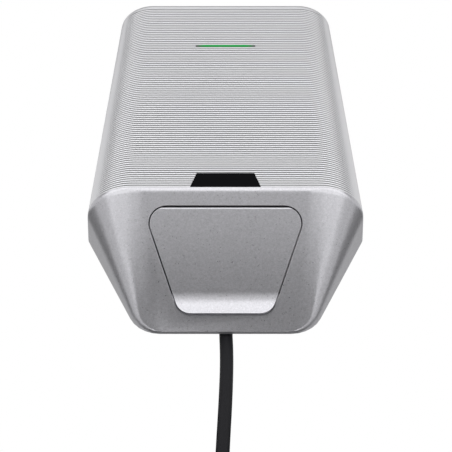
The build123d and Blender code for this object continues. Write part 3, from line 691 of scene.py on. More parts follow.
@dataclass(frozen=True)
class CoreSheaths(Finish):
    """Insulated cores, each in its own colour round the middle of the bundle."""

    grain_rough: float = 0.12
    sheaths: tuple[Colour, ...] = (
        (0.02, 0.02, 0.02),
        (0.20, 0.20, 0.21),
        (0.55, 0.62, 0.05),
        (0.02, 0.10, 0.45),
        (0.16, 0.06, 0.02),
    )

    def surface(self, graph: Graph) -> dict[str, object]:
        """Choose the colour by the angle about the bundle's middle.

        Args:
            graph: Tree of the material.

        Returns:
            Inputs of the shader by name.
        """
        x, y, _ = graph.split(object_point(graph))
        turn = (y - CORE_END[1] * MM).angle_to(x - CORE_END[0] * MM) / math.tau
        count = len(self.sheaths)
        place = (turn + 1.0).fraction()
        stops = [(number / count, colour) for number, colour in enumerate(self.sheaths)]
        ramp = graph.add("ShaderNodeValToRGB", {"stops": stops}, {0: place})
        ramp.socket.node.color_ramp.interpolation = "CONSTANT"
        grains = noise(graph, self.grain)
        return {
            "Base Color": ramp,
            "Roughness": self.roughness + self.grain_rough * (grains - 0.5),
            "Normal": self.bump(graph, grains),
        }


RIB_PAINT = RibPaint(
    "satin_silver_ribs", (0.60, 0.60, 0.617), roughness=0.36, relief=0.004, flake=0.35, sparkle=0.12
)
FACE_PAINT = FacePaint(
    "metallic_grey_paint", (0.455, 0.452, 0.475), roughness=0.30, relief=0.003, flake=1.0, sparkle=0.52
)
GLOSS_BLACK = Finish(
    "gloss_black", (0.002, 0.002, 0.003), roughness=0.15, specular=0.02, grain=2.0, relief=0.001
)
MOULDED_BLACK = Finish("moulded_black", (0.022, 0.022, 0.024), roughness=0.52)
TRAY_GREY = Finish("moulded_grey", (0.45, 0.46, 0.47), roughness=0.55, grain=0.6)
SEAL_RUBBER = Finish("seal_rubber", (0.018, 0.018, 0.019), roughness=0.80, grain=0.4)
CABLE_RUBBER = Finish("cable_sheath", (0.009, 0.009, 0.011), specular=0.12, grain=0.6, relief=0.003)
ZINC_STEEL = BrushedMetal("zinc_steel", (0.62, 0.62, 0.63), roughness=0.32)
BLACK_STEEL = BrushedMetal("black_steel", (0.05, 0.05, 0.053), roughness=0.45, metallic=0.6)
SILVERED = BrushedMetal("silvered_contacts", (0.80, 0.77, 0.70), roughness=0.25, relief=0.003)
CAN_METAL = BrushedMetal("drawn_cans", (0.68, 0.69, 0.71), roughness=0.3, grain=0.4)
LIT_GREEN = LitLens("lit_green_lens", (0.02, 0.36, 0.075), roughness=0.3, specular=0.06)
BOARD_GREEN = CircuitBoard("solder_mask", (0.010, 0.11, 0.045), roughness=0.4, grain=0.8, relief=0.03)
RELAY_BLACK = Finish("relay_cases", (0.03, 0.03, 0.034), roughness=0.4, grain=0.7, relief=0.015)
COIL_TAPE = Finish("winding_tape", (0.70, 0.50, 0.07), roughness=0.45, grain=1.2, relief=0.03)
TERMINAL_GREEN = Finish("terminal_green", (0.06, 0.32, 0.14), grain=0.6)
CORE_COLOURS = CoreSheaths("core_sheaths", (0.3, 0.2, 0.1), relief=0.01)

NODE_FINISHES: dict[str, Finish] = {
    "hinge_pins": BLACK_STEEL,
    "spring_pins": ZINC_STEEL,
    "socket_body": MOULDED_BLACK,
    "contact_carrier": MOULDED_BLACK,
    "contact_sleeves": SILVERED,
    "socket_seal": SEAL_RUBBER,
    "lock_actuator": MOULDED_BLACK,
    "lock_pin": ZINC_STEEL,
    "rear_housing": TRAY_GREY,
    "housing_seal": SEAL_RUBBER,
    "led_board": BOARD_GREEN,
    "main_board": BOARD_GREEN,
    "relays": RELAY_BLACK,
    "transformer": COIL_TAPE,
    "capacitors": CAN_METAL,
    "current_sensor": RELAY_BLACK,
    "terminal_block": TERMINAL_GREEN,
    "radio_module": CAN_METAL,
    "cable_gland": MOULDED_BLACK,
    "gland_nut": MOULDED_BLACK,
    "gland_locknut": MOULDED_BLACK,
    "cable_tie": MOULDED_BLACK,
    "core_ferrules": CAN_METAL,
}


def linked(name: str, data: bpy.types.ID) -> bpy.types.Object:
    """Put data in the scene as an object.

    Args:
        name: Name of the object.
        data: Its mesh, curve, lamp or camera.

    Returns:
        The object.
    """
    made = bpy.data.objects.new(name, data)
    bpy.context.scene.collection.objects.link(made)
    return made


def dress(mesh: bpy.types.Mesh, finish: Finish) -> None:
    """Give a mesh its one finish."""
    mesh.materials.clear()
    mesh.materials.append(finish.material())


def link_mesh(name: str, mesh: bpy.types.Mesh, finish: Finish) -> bpy.types.Object:
    """Put a mesh in the scene with its finish.

    Args:
        name: Name of the object and of its mesh.
        mesh: The mesh.
        finish: Its one finish.

    Returns:
        The object.
    """
    mesh.name = name
    dress(mesh, finish)
    return linked(name, mesh)


def mesh_of(shape: bmesh.types.BMesh, name: str) -> bpy.types.Mesh:
    """Write a shape to a new mesh and free it.

    Args:
        shape: The shape.
        name: Name of the mesh.

    Returns:
        The mesh.
    """
    mesh = bpy.data.meshes.new(name)
    shape.to_mesh(mesh)
    shape.free()
    return mesh


def link_shape(name: str, shape: bmesh.types.BMesh, finish: Finish) -> bpy.types.Object:
    """Put a shape in the scene as a mesh with its finish."""
    return link_mesh(name, mesh_of(shape, name), finish)


def smooth(mesh: bpy.types.Mesh, angle: float = 35.0) -> None:
    """Shade a mesh smooth, with edges sharper than an angle in degrees left sharp."""
    mesh.shade_smooth()
    mesh.set_sharp_from_angle(angle=math.radians(angle))


def smooth_step(share: float) -> float:
    """Ease a share in and out between 0 and 1."""
    held = min(1.0, max(0.0, share))
    return held * held * (3.0 - 2.0 * held)


def settled(piece: bpy.types.Object) -> bpy.types.Object:
    """Turn a piece's modifiers or curve into a plain mesh.

    Args:
        piece: Object with live modifiers, or a curve.

    Returns:
        A mesh object of the same name, with no modifier.
    """
    name = piece.name
    graph = bpy.context.evaluated_depsgraph_get()
    mesh = bpy.data.meshes.new_from_object(piece.evaluated_get(graph), depsgraph=graph)
    piece.name = name + ".source"
    bpy.data.objects.remove(piece)
    mesh.name = name
    return linked(name, mesh)


def drawn_wire(
    name: str, lines: Sequence[list[Vector]], kind: WireLine, radius: float, rounding: int, finish: Finish
) -> bpy.types.Object:
    """Draw a round wire along lines.

    Args:
        name: Name of the object.
        lines: Points of each line, in metres.
        kind: How the wire follows them.
        radius: Its radius in millimetres.
        rounding: How finely its section is rounded.
        finish: Its finish.

    Returns:
        The wire as a curve.
    """
    curve = bpy.data.curves.new(name, "CURVE")
    curve.dimensions = "3D"
    curve.bevel_depth = radius * MM
    curve.bevel_resolution = rounding
    curve.use_fill_caps = True
    for points in lines:
        spline = curve.splines.new(kind.value)
        spline.points.add(len(points) - 1)
        for place, point in zip(spline.points, points):
            place.co = (*point, 1.0)
    curve.materials.append(finish.material())
    return linked(name, curve)


def stand_for(piece: bpy.types.Object, body: Body, slot: str, *nodes: str) -> bpy.types.Object:
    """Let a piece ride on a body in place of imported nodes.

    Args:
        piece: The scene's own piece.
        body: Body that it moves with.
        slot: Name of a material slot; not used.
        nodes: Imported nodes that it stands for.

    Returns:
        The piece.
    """
    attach(piece, body.value)
    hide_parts(*nodes)
    return piece


class NodeTool:
    """A Geometry Nodes tree with named inputs, ready to be set and turned into a mesh."""

    def __init__(self, name: str, inputs: dict[str, str]) -> None:
        """Start the tree.

        Args:
            name: Name of the tree.
            inputs: Socket type of each named input.
        """
        self.tree = bpy.data.node_groups.new(name, "GeometryNodeTree")
        self.tree.interface.new_socket("Geometry", in_out="INPUT", socket_type="NodeSocketGeometry")
        self.keys: dict[str, str] = {}
        for title, kind in inputs.items():
            socket = self.tree.interface.new_socket(title, in_out="INPUT", socket_type=kind)
            self.keys[title] = socket.identifier
        self.tree.interface.new_socket("Geometry", in_out="OUTPUT", socket_type="NodeSocketGeometry")
        self.graph = Graph(self.tree)
        self.source = self.graph.add("NodeGroupInput").socket.node

    def input(self, title: str) -> Value:
        """A named input."""
        return Value(self.graph, self.source.outputs[title])

    def close(self, geometry: Value) -> None:
        """Realize what the tree made, give it its material and end the tree.

        Args:
            geometry: What the tree made.
        """
        real = self.graph.add("GeometryNodeRealizeInstances", {}, {"Geometry": geometry})
        dressed = self.graph.add(
            "GeometryNodeSetMaterial", {}, {"Geometry": real, "Material": self.input("Finish")}
        )
        self.graph.add("NodeGroupOutput", {}, {"Geometry": dressed})

    def run(self, piece: bpy.types.Object, values: dict[str, object]) -> bpy.types.Object:
        """Apply the tree to an object.

        Args:
            piece: Object that the tree reads.
            values: Value of each named input.

        Returns:
            The result as a plain mesh object of the same name.
        """
        modifier = piece.modifiers.new(self.tree.name, "NODES")
        modifier.node_group = self.tree
        for title, value in values.items():
            modifier[self.keys[title]] = value
        return settled(piece)


@dataclass
class RibbedCover:
    """Upper cover: a drafted shell whose front and corners carry fine level ribs."""

    rib_count: int = 92
    rib_depth: float = 0.9
    rib_steps: int = 8
    crest: float = 3.4
    foot_level: float = 3.5
    top_band: float = 6.0
    top_edge: float = 2.5
    top_steps: int = 5
    corner_steps: int = 18
    rib_end_turn: float = 55.0
    rib_end_span: float = 18.0
    ledge_back: float = -30.0
    ledge_front: float = -33.0
    ledge_inset: float = 16.0
    ledge_top: float = 238.0
    ledge_bite: float = 1.0
    smooth_angle: float = 38.0
    weight_name: str = "rib_weight"

    @property
    def head_level(self) -> float:
        """Level at which the ribs end."""
        return FORM.upper_height - self.top_band

    def ring(self, level: float, inset: float = 0.0) -> list[Vector]:
        """Walk round the cover at a level.

        Args:
            level: Height above the nose.
            inset: Distance inside the outer face.

        Returns:
            Points from the right edge of the rim to the left one, in metres.
        """
        wide = FORM.half_width(level) - inset
        radius = FORM.corner(level) - inset
        lean = math.atan(FORM.side_draft)
        centre_y = FORM.front_y + inset + radius
        centre_x = wide - FORM.side_draft * (FORM.rim_y - centre_y) - radius / math.cos(lean)
        steps = range(self.corner_steps + 1)
        turns = [(math.pi / 2 - lean) * (1 - step / self.corner_steps) for step in steps]
        right = [(wide, FORM.rim_y)]
        right += [(centre_x + radius * math.sin(turn), centre_y - radius * math.cos(turn)) for turn in turns]
        left = [(-x, y) for x, y in reversed(right)]
        return [FORM.at(x, y, level) for x, y in right + left]

    def rib_shares(self) -> list[float]:
        """Say how deep the ribs are round a ring; they run out round the corners.

        Returns:
            Share of the full depth at each point.
        """
        side = [0.0]
        for step in range(self.corner_steps + 1):
            turn = 90.0 * (1 - step / self.corner_steps)
            side.append(smooth_step((self.rib_end_turn - turn) / self.rib_end_span))
        return side + side[::-1]

    def levels(self) -> list[tuple[float, float]]:
        """Place the rings of the outer skin, from the foot to the rounded top edge.

        Returns:
            Level and inset of each ring.
        """
        rows = self.rib_count * self.rib_steps
        span = self.head_level - self.foot_level
        rings = [(self.foot_level + span * row / rows, 0.0) for row in range(rows + 1)]
        rings.append((self.head_level + span / rows, 0.0))
        for step in range(self.top_steps + 1):
            turn = math.pi / 2 * step / self.top_steps
            rise = self.top_edge * math.sin(turn)
            rings.append((FORM.upper_height - self.top_edge + rise, self.top_edge * (1 - math.cos(turn))))
        return rings

    def shell(self) -> bpy.types.Mesh:
        """Build the smooth shell: outer skin, inner skin, rim, foot and the ledge for the tray's seal.

        Returns:
            Its mesh, with the share of the ribs at each vertex.
        """
        shape = bmesh.new()
        weight = shape.verts.layers.float.new(self.weight_name)
        outer = [[shape.verts.new(point) for point in self.ring(*place)] for place in self.levels()]
        inner = [
            [shape.verts.new(point) for point in self.ring(level, FORM.wall)]
            for level in (self.foot_level, FORM.upper_height - FORM.wall)
        ]
        for row in outer[: self.rib_count * self.rib_steps + 1]:
            for vertex, share in zip(row, self.rib_shares()):
                vertex[weight] = share
        for rows, turned in ((outer, False), (inner, True)):
            for low, high in zip(rows, rows[1:]):
                self.strip(shape, low, high, turned)
            shape.faces.new(rows[-1] if not turned else rows[-1][::-1])
        self.strip(shape, inner[0], outer[0], False)
        right = [row[0] for row in outer] + [inner[1][0], inner[0][0]]
        left = [row[-1] for row in reversed(outer)] + [inner[0][-1], inner[1][-1]]
        for loop in (right, left, [outer[-1][0], outer[-1][-1], inner[1][-1], inner[1][0]]):
            shape.faces.new(loop)
        self.ledge(shape)
        bmesh.ops.recalc_face_normals(shape, faces=shape.faces)
        return mesh_of(shape, "front_cover_shell")

    @staticmethod
    def strip(shape: bmesh.types.BMesh, low: list, high: list, turned: bool) -> None:
        """Join two rings by a row of faces.

        Args:
            shape: Shape that the faces go into.
            low: Vertices of the first ring.
            high: Vertices of the second ring.
            turned: Whether the faces look inwards.
        """
        for first, second, third, fourth in zip(low, low[1:], high[1:], high):
            loop = (first, fourth, third, second) if not turned else (first, second, third, fourth)
            shape.faces.new(loop)

    def ledge(self, shape: bmesh.types.BMesh) -> None:
        """Add the ledge that the tray's seal presses on.

        Args:
            shape: Shape that it goes into.
        """
        top = FORM.upper_height - FORM.wall + self.ledge_bite
        out = [
            (FORM.half_width(level) - FORM.wall + self.ledge_bite, level) for level in (self.foot_level, top)
        ]
        into = [
            (FORM.half_width(level) - self.ledge_inset, level) for level in (self.foot_level, self.ledge_top)
        ]
        loops = []
        for places in (out, into):
            flat = places + [(-x, level) for x, level in reversed(places)]
            for y in (self.ledge_back, self.ledge_front):
                loops.append([shape.verts.new(FORM.at(x, y, level)) for x, level in flat])
        out_back, out_front, in_back, in_front = loops
        around = (out_back, in_back, in_front, out_front)
        for first, second in zip(around, (*around[1:], around[0])):
            self.strip(shape, first, second, False)
        for end in (0, -1):
            shape.faces.new([loop[end] for loop in around])

    def rib_tool(self) -> NodeTool:
        """Make the tree that presses the ribs into a skin.

        Returns:
            The tree.
        """
        tool = NodeTool(
            "press_ribs",
            {
                "Rib Count": "NodeSocketInt",
                "Rib Depth": "NodeSocketFloat",
                "Crest Power": "NodeSocketFloat",
                "Foot Height": "NodeSocketFloat",
                "Head Height": "NodeSocketFloat",
                "Finish": "NodeSocketMaterial",
            },
        )
        graph = tool.graph
        _, _, z = graph.split(graph.add("GeometryNodeInputPosition"))
        foot = tool.input("Foot Height")
        place = (z - foot) / (tool.input("Head Height") - foot)
        across = abs(2.0 * (place * tool.input("Rib Count")).fraction() - 1.0)
        weight = graph.add(
            "GeometryNodeInputNamedAttribute", {"data_type": "FLOAT"}, {"Name": self.weight_name}
        )
        groove = across ** tool.input("Crest Power") * weight
        # the stored groove share is the mask for the painted shade in the ribs' paint
        marked = graph.add(
            "GeometryNodeStoreNamedAttribute",
            {"data_type": "FLOAT", "domain": "POINT"},
            {"Geometry": tool.input("Geometry"), "Name": RIB_PAINT.groove_name, "Value": groove},
        )
        offset = graph.add("ShaderNodeCombineXYZ", {}, {"Y": tool.input("Rib Depth") * groove})
        tool.close(graph.add("GeometryNodeSetPosition", {}, {"Geometry": marked, "Offset": offset}))
        return tool

    def build(self) -> bpy.types.Object:
        """Build the cover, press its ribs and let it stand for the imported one.

        Returns:
            The cover.
        """
        plain = link_mesh("ribbed_front_cover", self.shell(), RIB_PAINT)
        cover = self.rib_tool().run(
            plain,
            {
                "Rib Count": self.rib_count,
                "Rib Depth": self.rib_depth * MM,
                "Crest Power": self.crest,
                "Foot Height": (FORM.nose_z + self.foot_level) * MM,
                "Head Height": (FORM.nose_z + self.head_level) * MM,
                "Finish": RIB_PAINT.material(),
            },
        )
        smooth(cover.data, self.smooth_angle)
        return stand_for(cover, Body.HOUSING, "ribbed_silver", "front_cover")


@dataclass
class EasedCopy:
    """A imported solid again, with its facets smoothed and chosen edges eased."""

    node: str
    name: str
    finish: Finish
    slot: str
    body: Body = Body.HOUSING
    width: float = 0.4
    segments: int = 3
    merge: float = 0.002
    flat_angle: float = 0.25
    edge_angle: float = 50.0
    smooth_angle: float = 32.0
    weighting: int = 100
    chosen: Callable[[Vector], bool] = field(default=lambda point: True)
    eased: Callable[[Vector], Vector] = field(default=lambda point: point)

    def build(self, nodes: dict[str, bpy.types.Object]) -> bpy.types.Object:
        """Copy, merge, ease and smooth the solid.

        Args:
            nodes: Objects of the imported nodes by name.

        Returns:
            The piece that stands for the node.
        """
        shape = bmesh.new()
        shape.from_mesh(nodes[self.node].data)
        bmesh.ops.remove_doubles(shape, verts=shape.verts, dist=self.merge * MM)
        bmesh.ops.dissolve_limit(
            shape, angle_limit=math.radians(self.flat_angle), verts=shape.verts, edges=shape.edges
        )
        edges = [edge for edge in shape.edges if self.is_eased(edge)]
        if edges:
            bmesh.ops.bevel(
                shape, geom=edges, offset=self.width * MM, segments=self.segments, profile=ROUND_PROFILE,
                affect="EDGES", clamp_overlap=True,
            )
        for vertex in shape.verts:
            vertex.co = self.eased(vertex.co)
        piece = link_shape(self.name, shape, self.finish)
        smooth(piece.data, self.smooth_angle)
        weights = piece.modifiers.new("weighted_normals", "WEIGHTED_NORMAL")
        weights.keep_sharp = True
        weights.weight = self.weighting
        return stand_for(settled(piece), self.body, self.slot, self.node)

    def is_eased(self, edge: bmesh.types.BMEdge) -> bool:
        """Say whether an edge is sharp and among the chosen ones.

        Args:
            edge: Edge of the merged solid.

        Returns:
            Whether it is eased.
        """
        if len(edge.link_faces) != 2 or edge.calc_face_angle(0.0) < math.radians(self.edge_angle):
            return False
        return all(self.chosen(vertex.co) for vertex in edge.verts)


@dataclass(frozen=True)
class FlapOpening:
    """Part of the sloping face that the flap's opening is cut from."""

    top: float = 10.0
    bottom: float = 120.0
    slack: float = 0.05

    def holds(self, point: Vector) -> bool:
        """Say whether a point lies on the face, round the flap."""
        return abs(FORM.slope_depth(point)) < self.slack and self.top < FORM.slope_drop(point) < self.bottom


@dataclass(frozen=True)
class FlapHinge:
    """Bores of the flap's two pins, which are drawn from the sloping face."""

    drop: float = 20.5
    depth: float = 1.1
    clear_r: float = 0.85

    def is_clear(self, point: Vector) -> bool:
        """Say whether a point is clear of the bores.

        Args:
            point: Point of the flap in metres.

        Returns:
            Whether it is clear.
        """
        drop = FORM.slope_drop(point) - self.drop
        depth = FORM.slope_depth(point) - self.depth
        return math.hypot(drop, depth) > self.clear_r


@dataclass(frozen=True)
class LipBend:
    """Lower end of the flap, where its bend starts a little earlier than in the plain solid."""

    start: float = 96.0
    end: float = 114.2
    lead: float = 3.0
    top: float = 15.5
    top_half: float = 75.3
    bottom_half: float = 41.4
    corner: float = 14.0
    slack: float = 0.3

    def half_width(self, drop: float) -> float:
        """Half the flap's width: a taper that ends in rounded corners.

        Args:
            drop: Distance down the slope.

        Returns:
            The half width in millimetres.
        """
        taper = (self.top_half - self.bottom_half) / (self.end - self.top)
        cosine = 1.0 / math.hypot(1.0, taper)
        middle = self.end - self.corner
        if drop <= middle + self.corner * taper * cosine:
            return self.top_half - taper * (drop - self.top)
        centre = self.top_half - taper * (middle - self.top) - self.corner / cosine
        return centre + math.sqrt(max(0.0, self.corner**2 - (drop - middle) ** 2))

    def moved(self, point: Vector) -> Vector:
        """Move a point of the bend up the slope and keep it on the outline.

        Args:
            point: Point of the flap in metres.

        Returns:
            Its new place.
        """
        drop = FORM.slope_drop(point)
        if not self.start - self.slack < drop < self.end:
            return point
        rise = self.lead * (self.end - drop) / (self.end - self.start)
        place = point + rise * (FORM.on_slope(0.0, 0.0, 0.0) - FORM.on_slope(0.0, 1.0, 0.0))
        place.x *= self.half_width(drop - rise) / self.half_width(drop)
        return place


@dataclass
class LightLens:
    """Lens of the status light: a slim bar with rounded edges, just proud of the ribs, on a flange."""

    level: float = 193.0
    length: float = 59.0
    height: float = 2.6
    proud: float = 0.1
    back: float = 3.0
    ease: float = 0.35
    ease_steps: int = 3
    rim: float = 3.0
    flange: float = 3.0

    @staticmethod
    def block(shape: bmesh.types.BMesh, middle: Vector, size: Vector) -> None:
        """Add a block, whose middle and size are in millimetres."""
        bmesh.ops.create_cube(shape, size=1.0, matrix=Matrix.LocRotScale(middle * MM, None, size * MM))

    def build(self) -> bpy.types.Object:
        """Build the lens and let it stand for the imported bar.

        Returns:
            The lens.
        """
        shape = bmesh.new()
        bottom = FORM.nose_z + self.level - self.height / 2
        low = Vector((-self.length / 2, FORM.front_y - self.proud, bottom))
        size = Vector((self.length, self.back + self.proud, self.height))
        self.block(shape, low + size / 2, size)
        front = [
            edge for edge in shape.edges if all(vertex.co.y < FORM.front_y * MM for vertex in edge.verts)
        ]
        bmesh.ops.bevel(
            shape, geom=front, offset=self.ease * MM, segments=self.ease_steps, profile=ROUND_PROFILE,
            affect="EDGES",
        )
        flange = Vector((self.length + 2 * self.rim, self.flange, self.height + 2 * self.rim))
        middle = Vector((0.0, FORM.front_y + self.back + flange.y / 2, FORM.nose_z + self.level))
        self.block(shape, middle, flange)
        lens = link_shape("status_lens", shape, LIT_GREEN)
        smooth(lens.data)
        return stand_for(lens, Body.HOUSING, "light_green", "light_bar")


class PatternTool(NodeTool):
    """Tree that sets a pattern on each of its points, turned along an axis."""

    def __init__(self) -> None:
        """Build the tree."""
        super().__init__(
            "set_pattern",
            {"Pattern": "NodeSocketObject", "Axis": "NodeSocketVector", "Finish": "NodeSocketMaterial"},
        )
        graph = self.graph
        turn = graph.add("FunctionNodeAlignRotationToVector", {"axis": "Z"}, {"Vector": self.input("Axis")})
        pattern = graph.add(
            "GeometryNodeObjectInfo", {}, {"Object": self.input("Pattern")}, out="Geometry"
        )
        points = graph.add("GeometryNodeMeshToPoints", {}, {"Mesh": self.input("Geometry")})
        placed = graph.add(
            "GeometryNodeInstanceOnPoints", {}, {"Points": points, "Instance": pattern, "Rotation": turn}
        )
        self.close(placed)

    def place(
        self, name: str, mesh: bpy.types.Mesh, places: Sequence[Vector], axis: Vector, finish: Finish
    ) -> bpy.types.Object:
        """Set a mesh on points.

        Args:
            name: Name of the piece.
            mesh: The pattern, which stands along the Z axis.
            places: The points in metres.
            axis: Where the pattern's Z axis turns.
            finish: Finish of the piece.

        Returns:
            All the copies as one piece.
        """
        pattern = link_mesh(name + "_pattern", mesh, finish)
        points = bpy.data.meshes.new(name + "_places")
        points.from_pydata([tuple(place) for place in places], [], [])
        holder = link_mesh(name, points, finish)
        made = self.run(holder, {"Pattern": pattern, "Axis": tuple(axis), "Finish": finish.material()})
        bpy.data.objects.remove(pattern)
        return made


@dataclass(frozen=True)
class Screw:
    """A button-head screw with a hexagon socket; the dome is given in shares of the head's size."""

    head_r: float
    head: float
    shank_r: float
    length: float
    tip_share: float = 0.8
    tip: float = 0.4
    dome: tuple[tuple[float, float], ...] = ((1.0, 0.0), (1.0, 0.35), (0.93, 0.68), (0.75, 0.92), (0.60, 1.0))
    key_share: float = 0.45
    key_top: float = 0.97
    key_floor: float = 0.35
    key_middle: float = 0.25
    sides: int = 24
    merge: float = 0.0001

    def rows(self) -> list[tuple[float, float, bool]]:
        """Trace the screw from its tip to the floor of its socket.

        Returns:
            Radius and height of each ring, and whether it is a hexagon.
        """
        shank = [
            (0.0, -self.length),
            (self.tip_share * self.shank_r, -self.length),
            (self.shank_r, -self.length + self.tip),
            (self.shank_r, 0.0),
        ]
        dome = [(radius * self.head_r, height * self.head) for radius, height in self.dome]
        key = self.key_share * self.head_r
        return [
            *((radius, height, False) for radius, height in shank + dome),
            (key, self.key_top * self.head, True),
            (key, self.key_floor * self.head, True),
            (0.0, self.key_middle * self.head, False),
        ]

    @staticmethod
    def hexagon(turn: float) -> float:
        """Cosine of the angle from the middle of the nearest side of a hexagon."""
        sixth = math.pi / 3
        return math.cos((turn + sixth / 2) % sixth - sixth / 2)

    def mesh(self) -> bpy.types.Mesh:
        """Turn the screw, with its head up the Z axis from the origin and its shank down.

        Returns:
            Its mesh.
        """
        shape = bmesh.new()
        rings = []
        for radius, height, hexed in self.rows():
            ring = []
            for side in range(self.sides):
                turn = math.tau * side / self.sides
                reach = radius / self.hexagon(turn) if hexed else radius
                place = Vector((reach * math.cos(turn), reach * math.sin(turn), height)) * MM
                ring.append(shape.verts.new(place))
            rings.append(ring)
        for low, high in zip(rings, rings[1:]):
            for side in range(self.sides):
                after = (side + 1) % self.sides
                shape.faces.new((low[side], low[after], high[after], high[side]))
        bmesh.ops.remove_doubles(shape, verts=shape.verts, dist=self.merge * MM)
        bmesh.ops.recalc_face_normals(shape, faces=shape.faces)
        mesh = mesh_of(shape, "screw")
        smooth(mesh)
        return mesh


@dataclass(frozen=True)
class ScrewSet:
    """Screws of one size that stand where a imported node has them."""

    node: str
    screw: Screw
    places: list[Vector]
    axis: Vector

    def build(self, tool: PatternTool) -> bpy.types.Object:
        """Set the screws as one piece."""
        made = tool.place(self.node + "_set", self.screw.mesh(), self.places, self.axis, ZINC_STEEL)
        return stand_for(made, Body.HOUSING, "steel", self.node)


@dataclass(frozen=True)
class ScrewPlan:
    """Where the screws of the socket, the covers and the main board stand."""

    small: Screw = Screw(head_r=2.75, head=2.0, shank_r=1.5, length=8.0)
    joint: Screw = Screw(head_r=3.5, head=2.6, shank_r=2.0, length=6.0)
    cover: Screw = Screw(head_r=3.5, head=2.6, shank_r=2.0, length=11.0)
    socket_drop: float = 54.5
    socket_depth: float = 9.0
    socket_circle: float = 35.5
    joint_x: float = 60.0
    joint_y: float = -83.0
    joint_level: float = 0.5
    cover_x: float = 58.0
    cover_y: float = -17.5
    cover_level: float = -73.02
    board_x: float = 60.0
    board_y: float = -14.6
    board_level: float = 125.0
    board_rise: float = 82.0

    def sets(self) -> list[ScrewSet]:
        """List the sets of screws with their places and axes.

        Returns:
            The four sets.
        """
        out_of_slope = FORM.on_slope(0.0, 0.0, -1.0) - FORM.on_slope(0.0, 0.0, 0.0)
        down, forward = Vector((0, 0, -1)), Vector((0, -1, 0))
        circle = self.socket_circle * math.sqrt(0.5)
        socket = [
            FORM.on_slope(x, self.socket_drop + drop, self.socket_depth)
            for x in (-circle, circle)
            for drop in (-circle, circle)
        ]
        joint = [FORM.at(x, self.joint_y, self.joint_level) for x in (-self.joint_x, 0.0, self.joint_x)]
        cover = [FORM.at(x, self.cover_y, self.cover_level) for x in (-self.cover_x, self.cover_x)]
        board = [
            FORM.at(x, self.board_y, self.board_level + rise)
            for x in (-self.board_x, self.board_x)
            for rise in (-self.board_rise, self.board_rise)
        ]
        return [
            ScrewSet("socket_screws", self.small, socket, out_of_slope.normalized()),
            ScrewSet("joint_screws", self.joint, joint, down),
            ScrewSet("cover_screws", self.cover, cover, down),
            ScrewSet("board_screws", self.small, board, forward),
        ]


@dataclass
class FlapSprings:
    """Two torsion springs: close turns of wire with a leg on the flap and a leg on the pocket's floor."""

    x: float = 52.0
    drop: float = 24.5
    depth: float = 6.5
    half: float = 4.2
    wire: float = 0.8
    pin_r: float = 1.3
    floor: float = 14.0
    tip_drop: float = 18.5
    tip_depth: float = 3.0
    turns: float = 9.75
    turn_points: int = 16
    bend_from: float = 2.0
    rounding: int = 2
    smooth_angle: float = 50.0

    def line(self, side: int) -> list[Vector]:
        """Follow the wire of one spring.

        Args:
            side: 1 for the right spring, -1 for the left one.

        Returns:
            Points in metres from the flap's leg to the floor's leg.
        """
        radius = self.pin_r + self.wire / 2
        reach = self.half - self.wire / 2
        start = side * (self.x - reach)
        points = [FORM.on_slope(start, self.tip_drop, self.tip_depth)]
        count = round(self.turns * self.turn_points)
        for step in range(count + 1):
            share = step / count
            turn = -math.pi / 2 + math.tau * self.turns * share
            x = side * (self.x - reach + 2 * reach * share)
            drop = self.drop + radius * math.cos(turn)
            points.append(FORM.on_slope(x, drop, self.depth + radius * math.sin(turn)))
        end = points[-1]
        points.append(FORM.on_slope(end.x / MM, FORM.slope_drop(end), self.floor - self.wire / 2))
        return points

    def build(self) -> bpy.types.Object:
        """Wind both springs.

        Returns:
            The springs as one piece.
        """
        lines = [self.line(side) for side in (-1, 1)]
        springs = settled(
            drawn_wire(
                "wound_flap_springs", lines, WireLine.STRAIGHT, self.wire / 2, self.rounding, ZINC_STEEL
            )
        )
        smooth(springs.data, self.smooth_angle)
        tuple(FORM.on_slope(0.0, self.drop - self.bend_from, self.depth))
        tuple(FORM.on_slope(0.0, self.tip_drop, self.tip_depth))
        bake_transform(springs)
        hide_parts("flap_spring")
        return springs


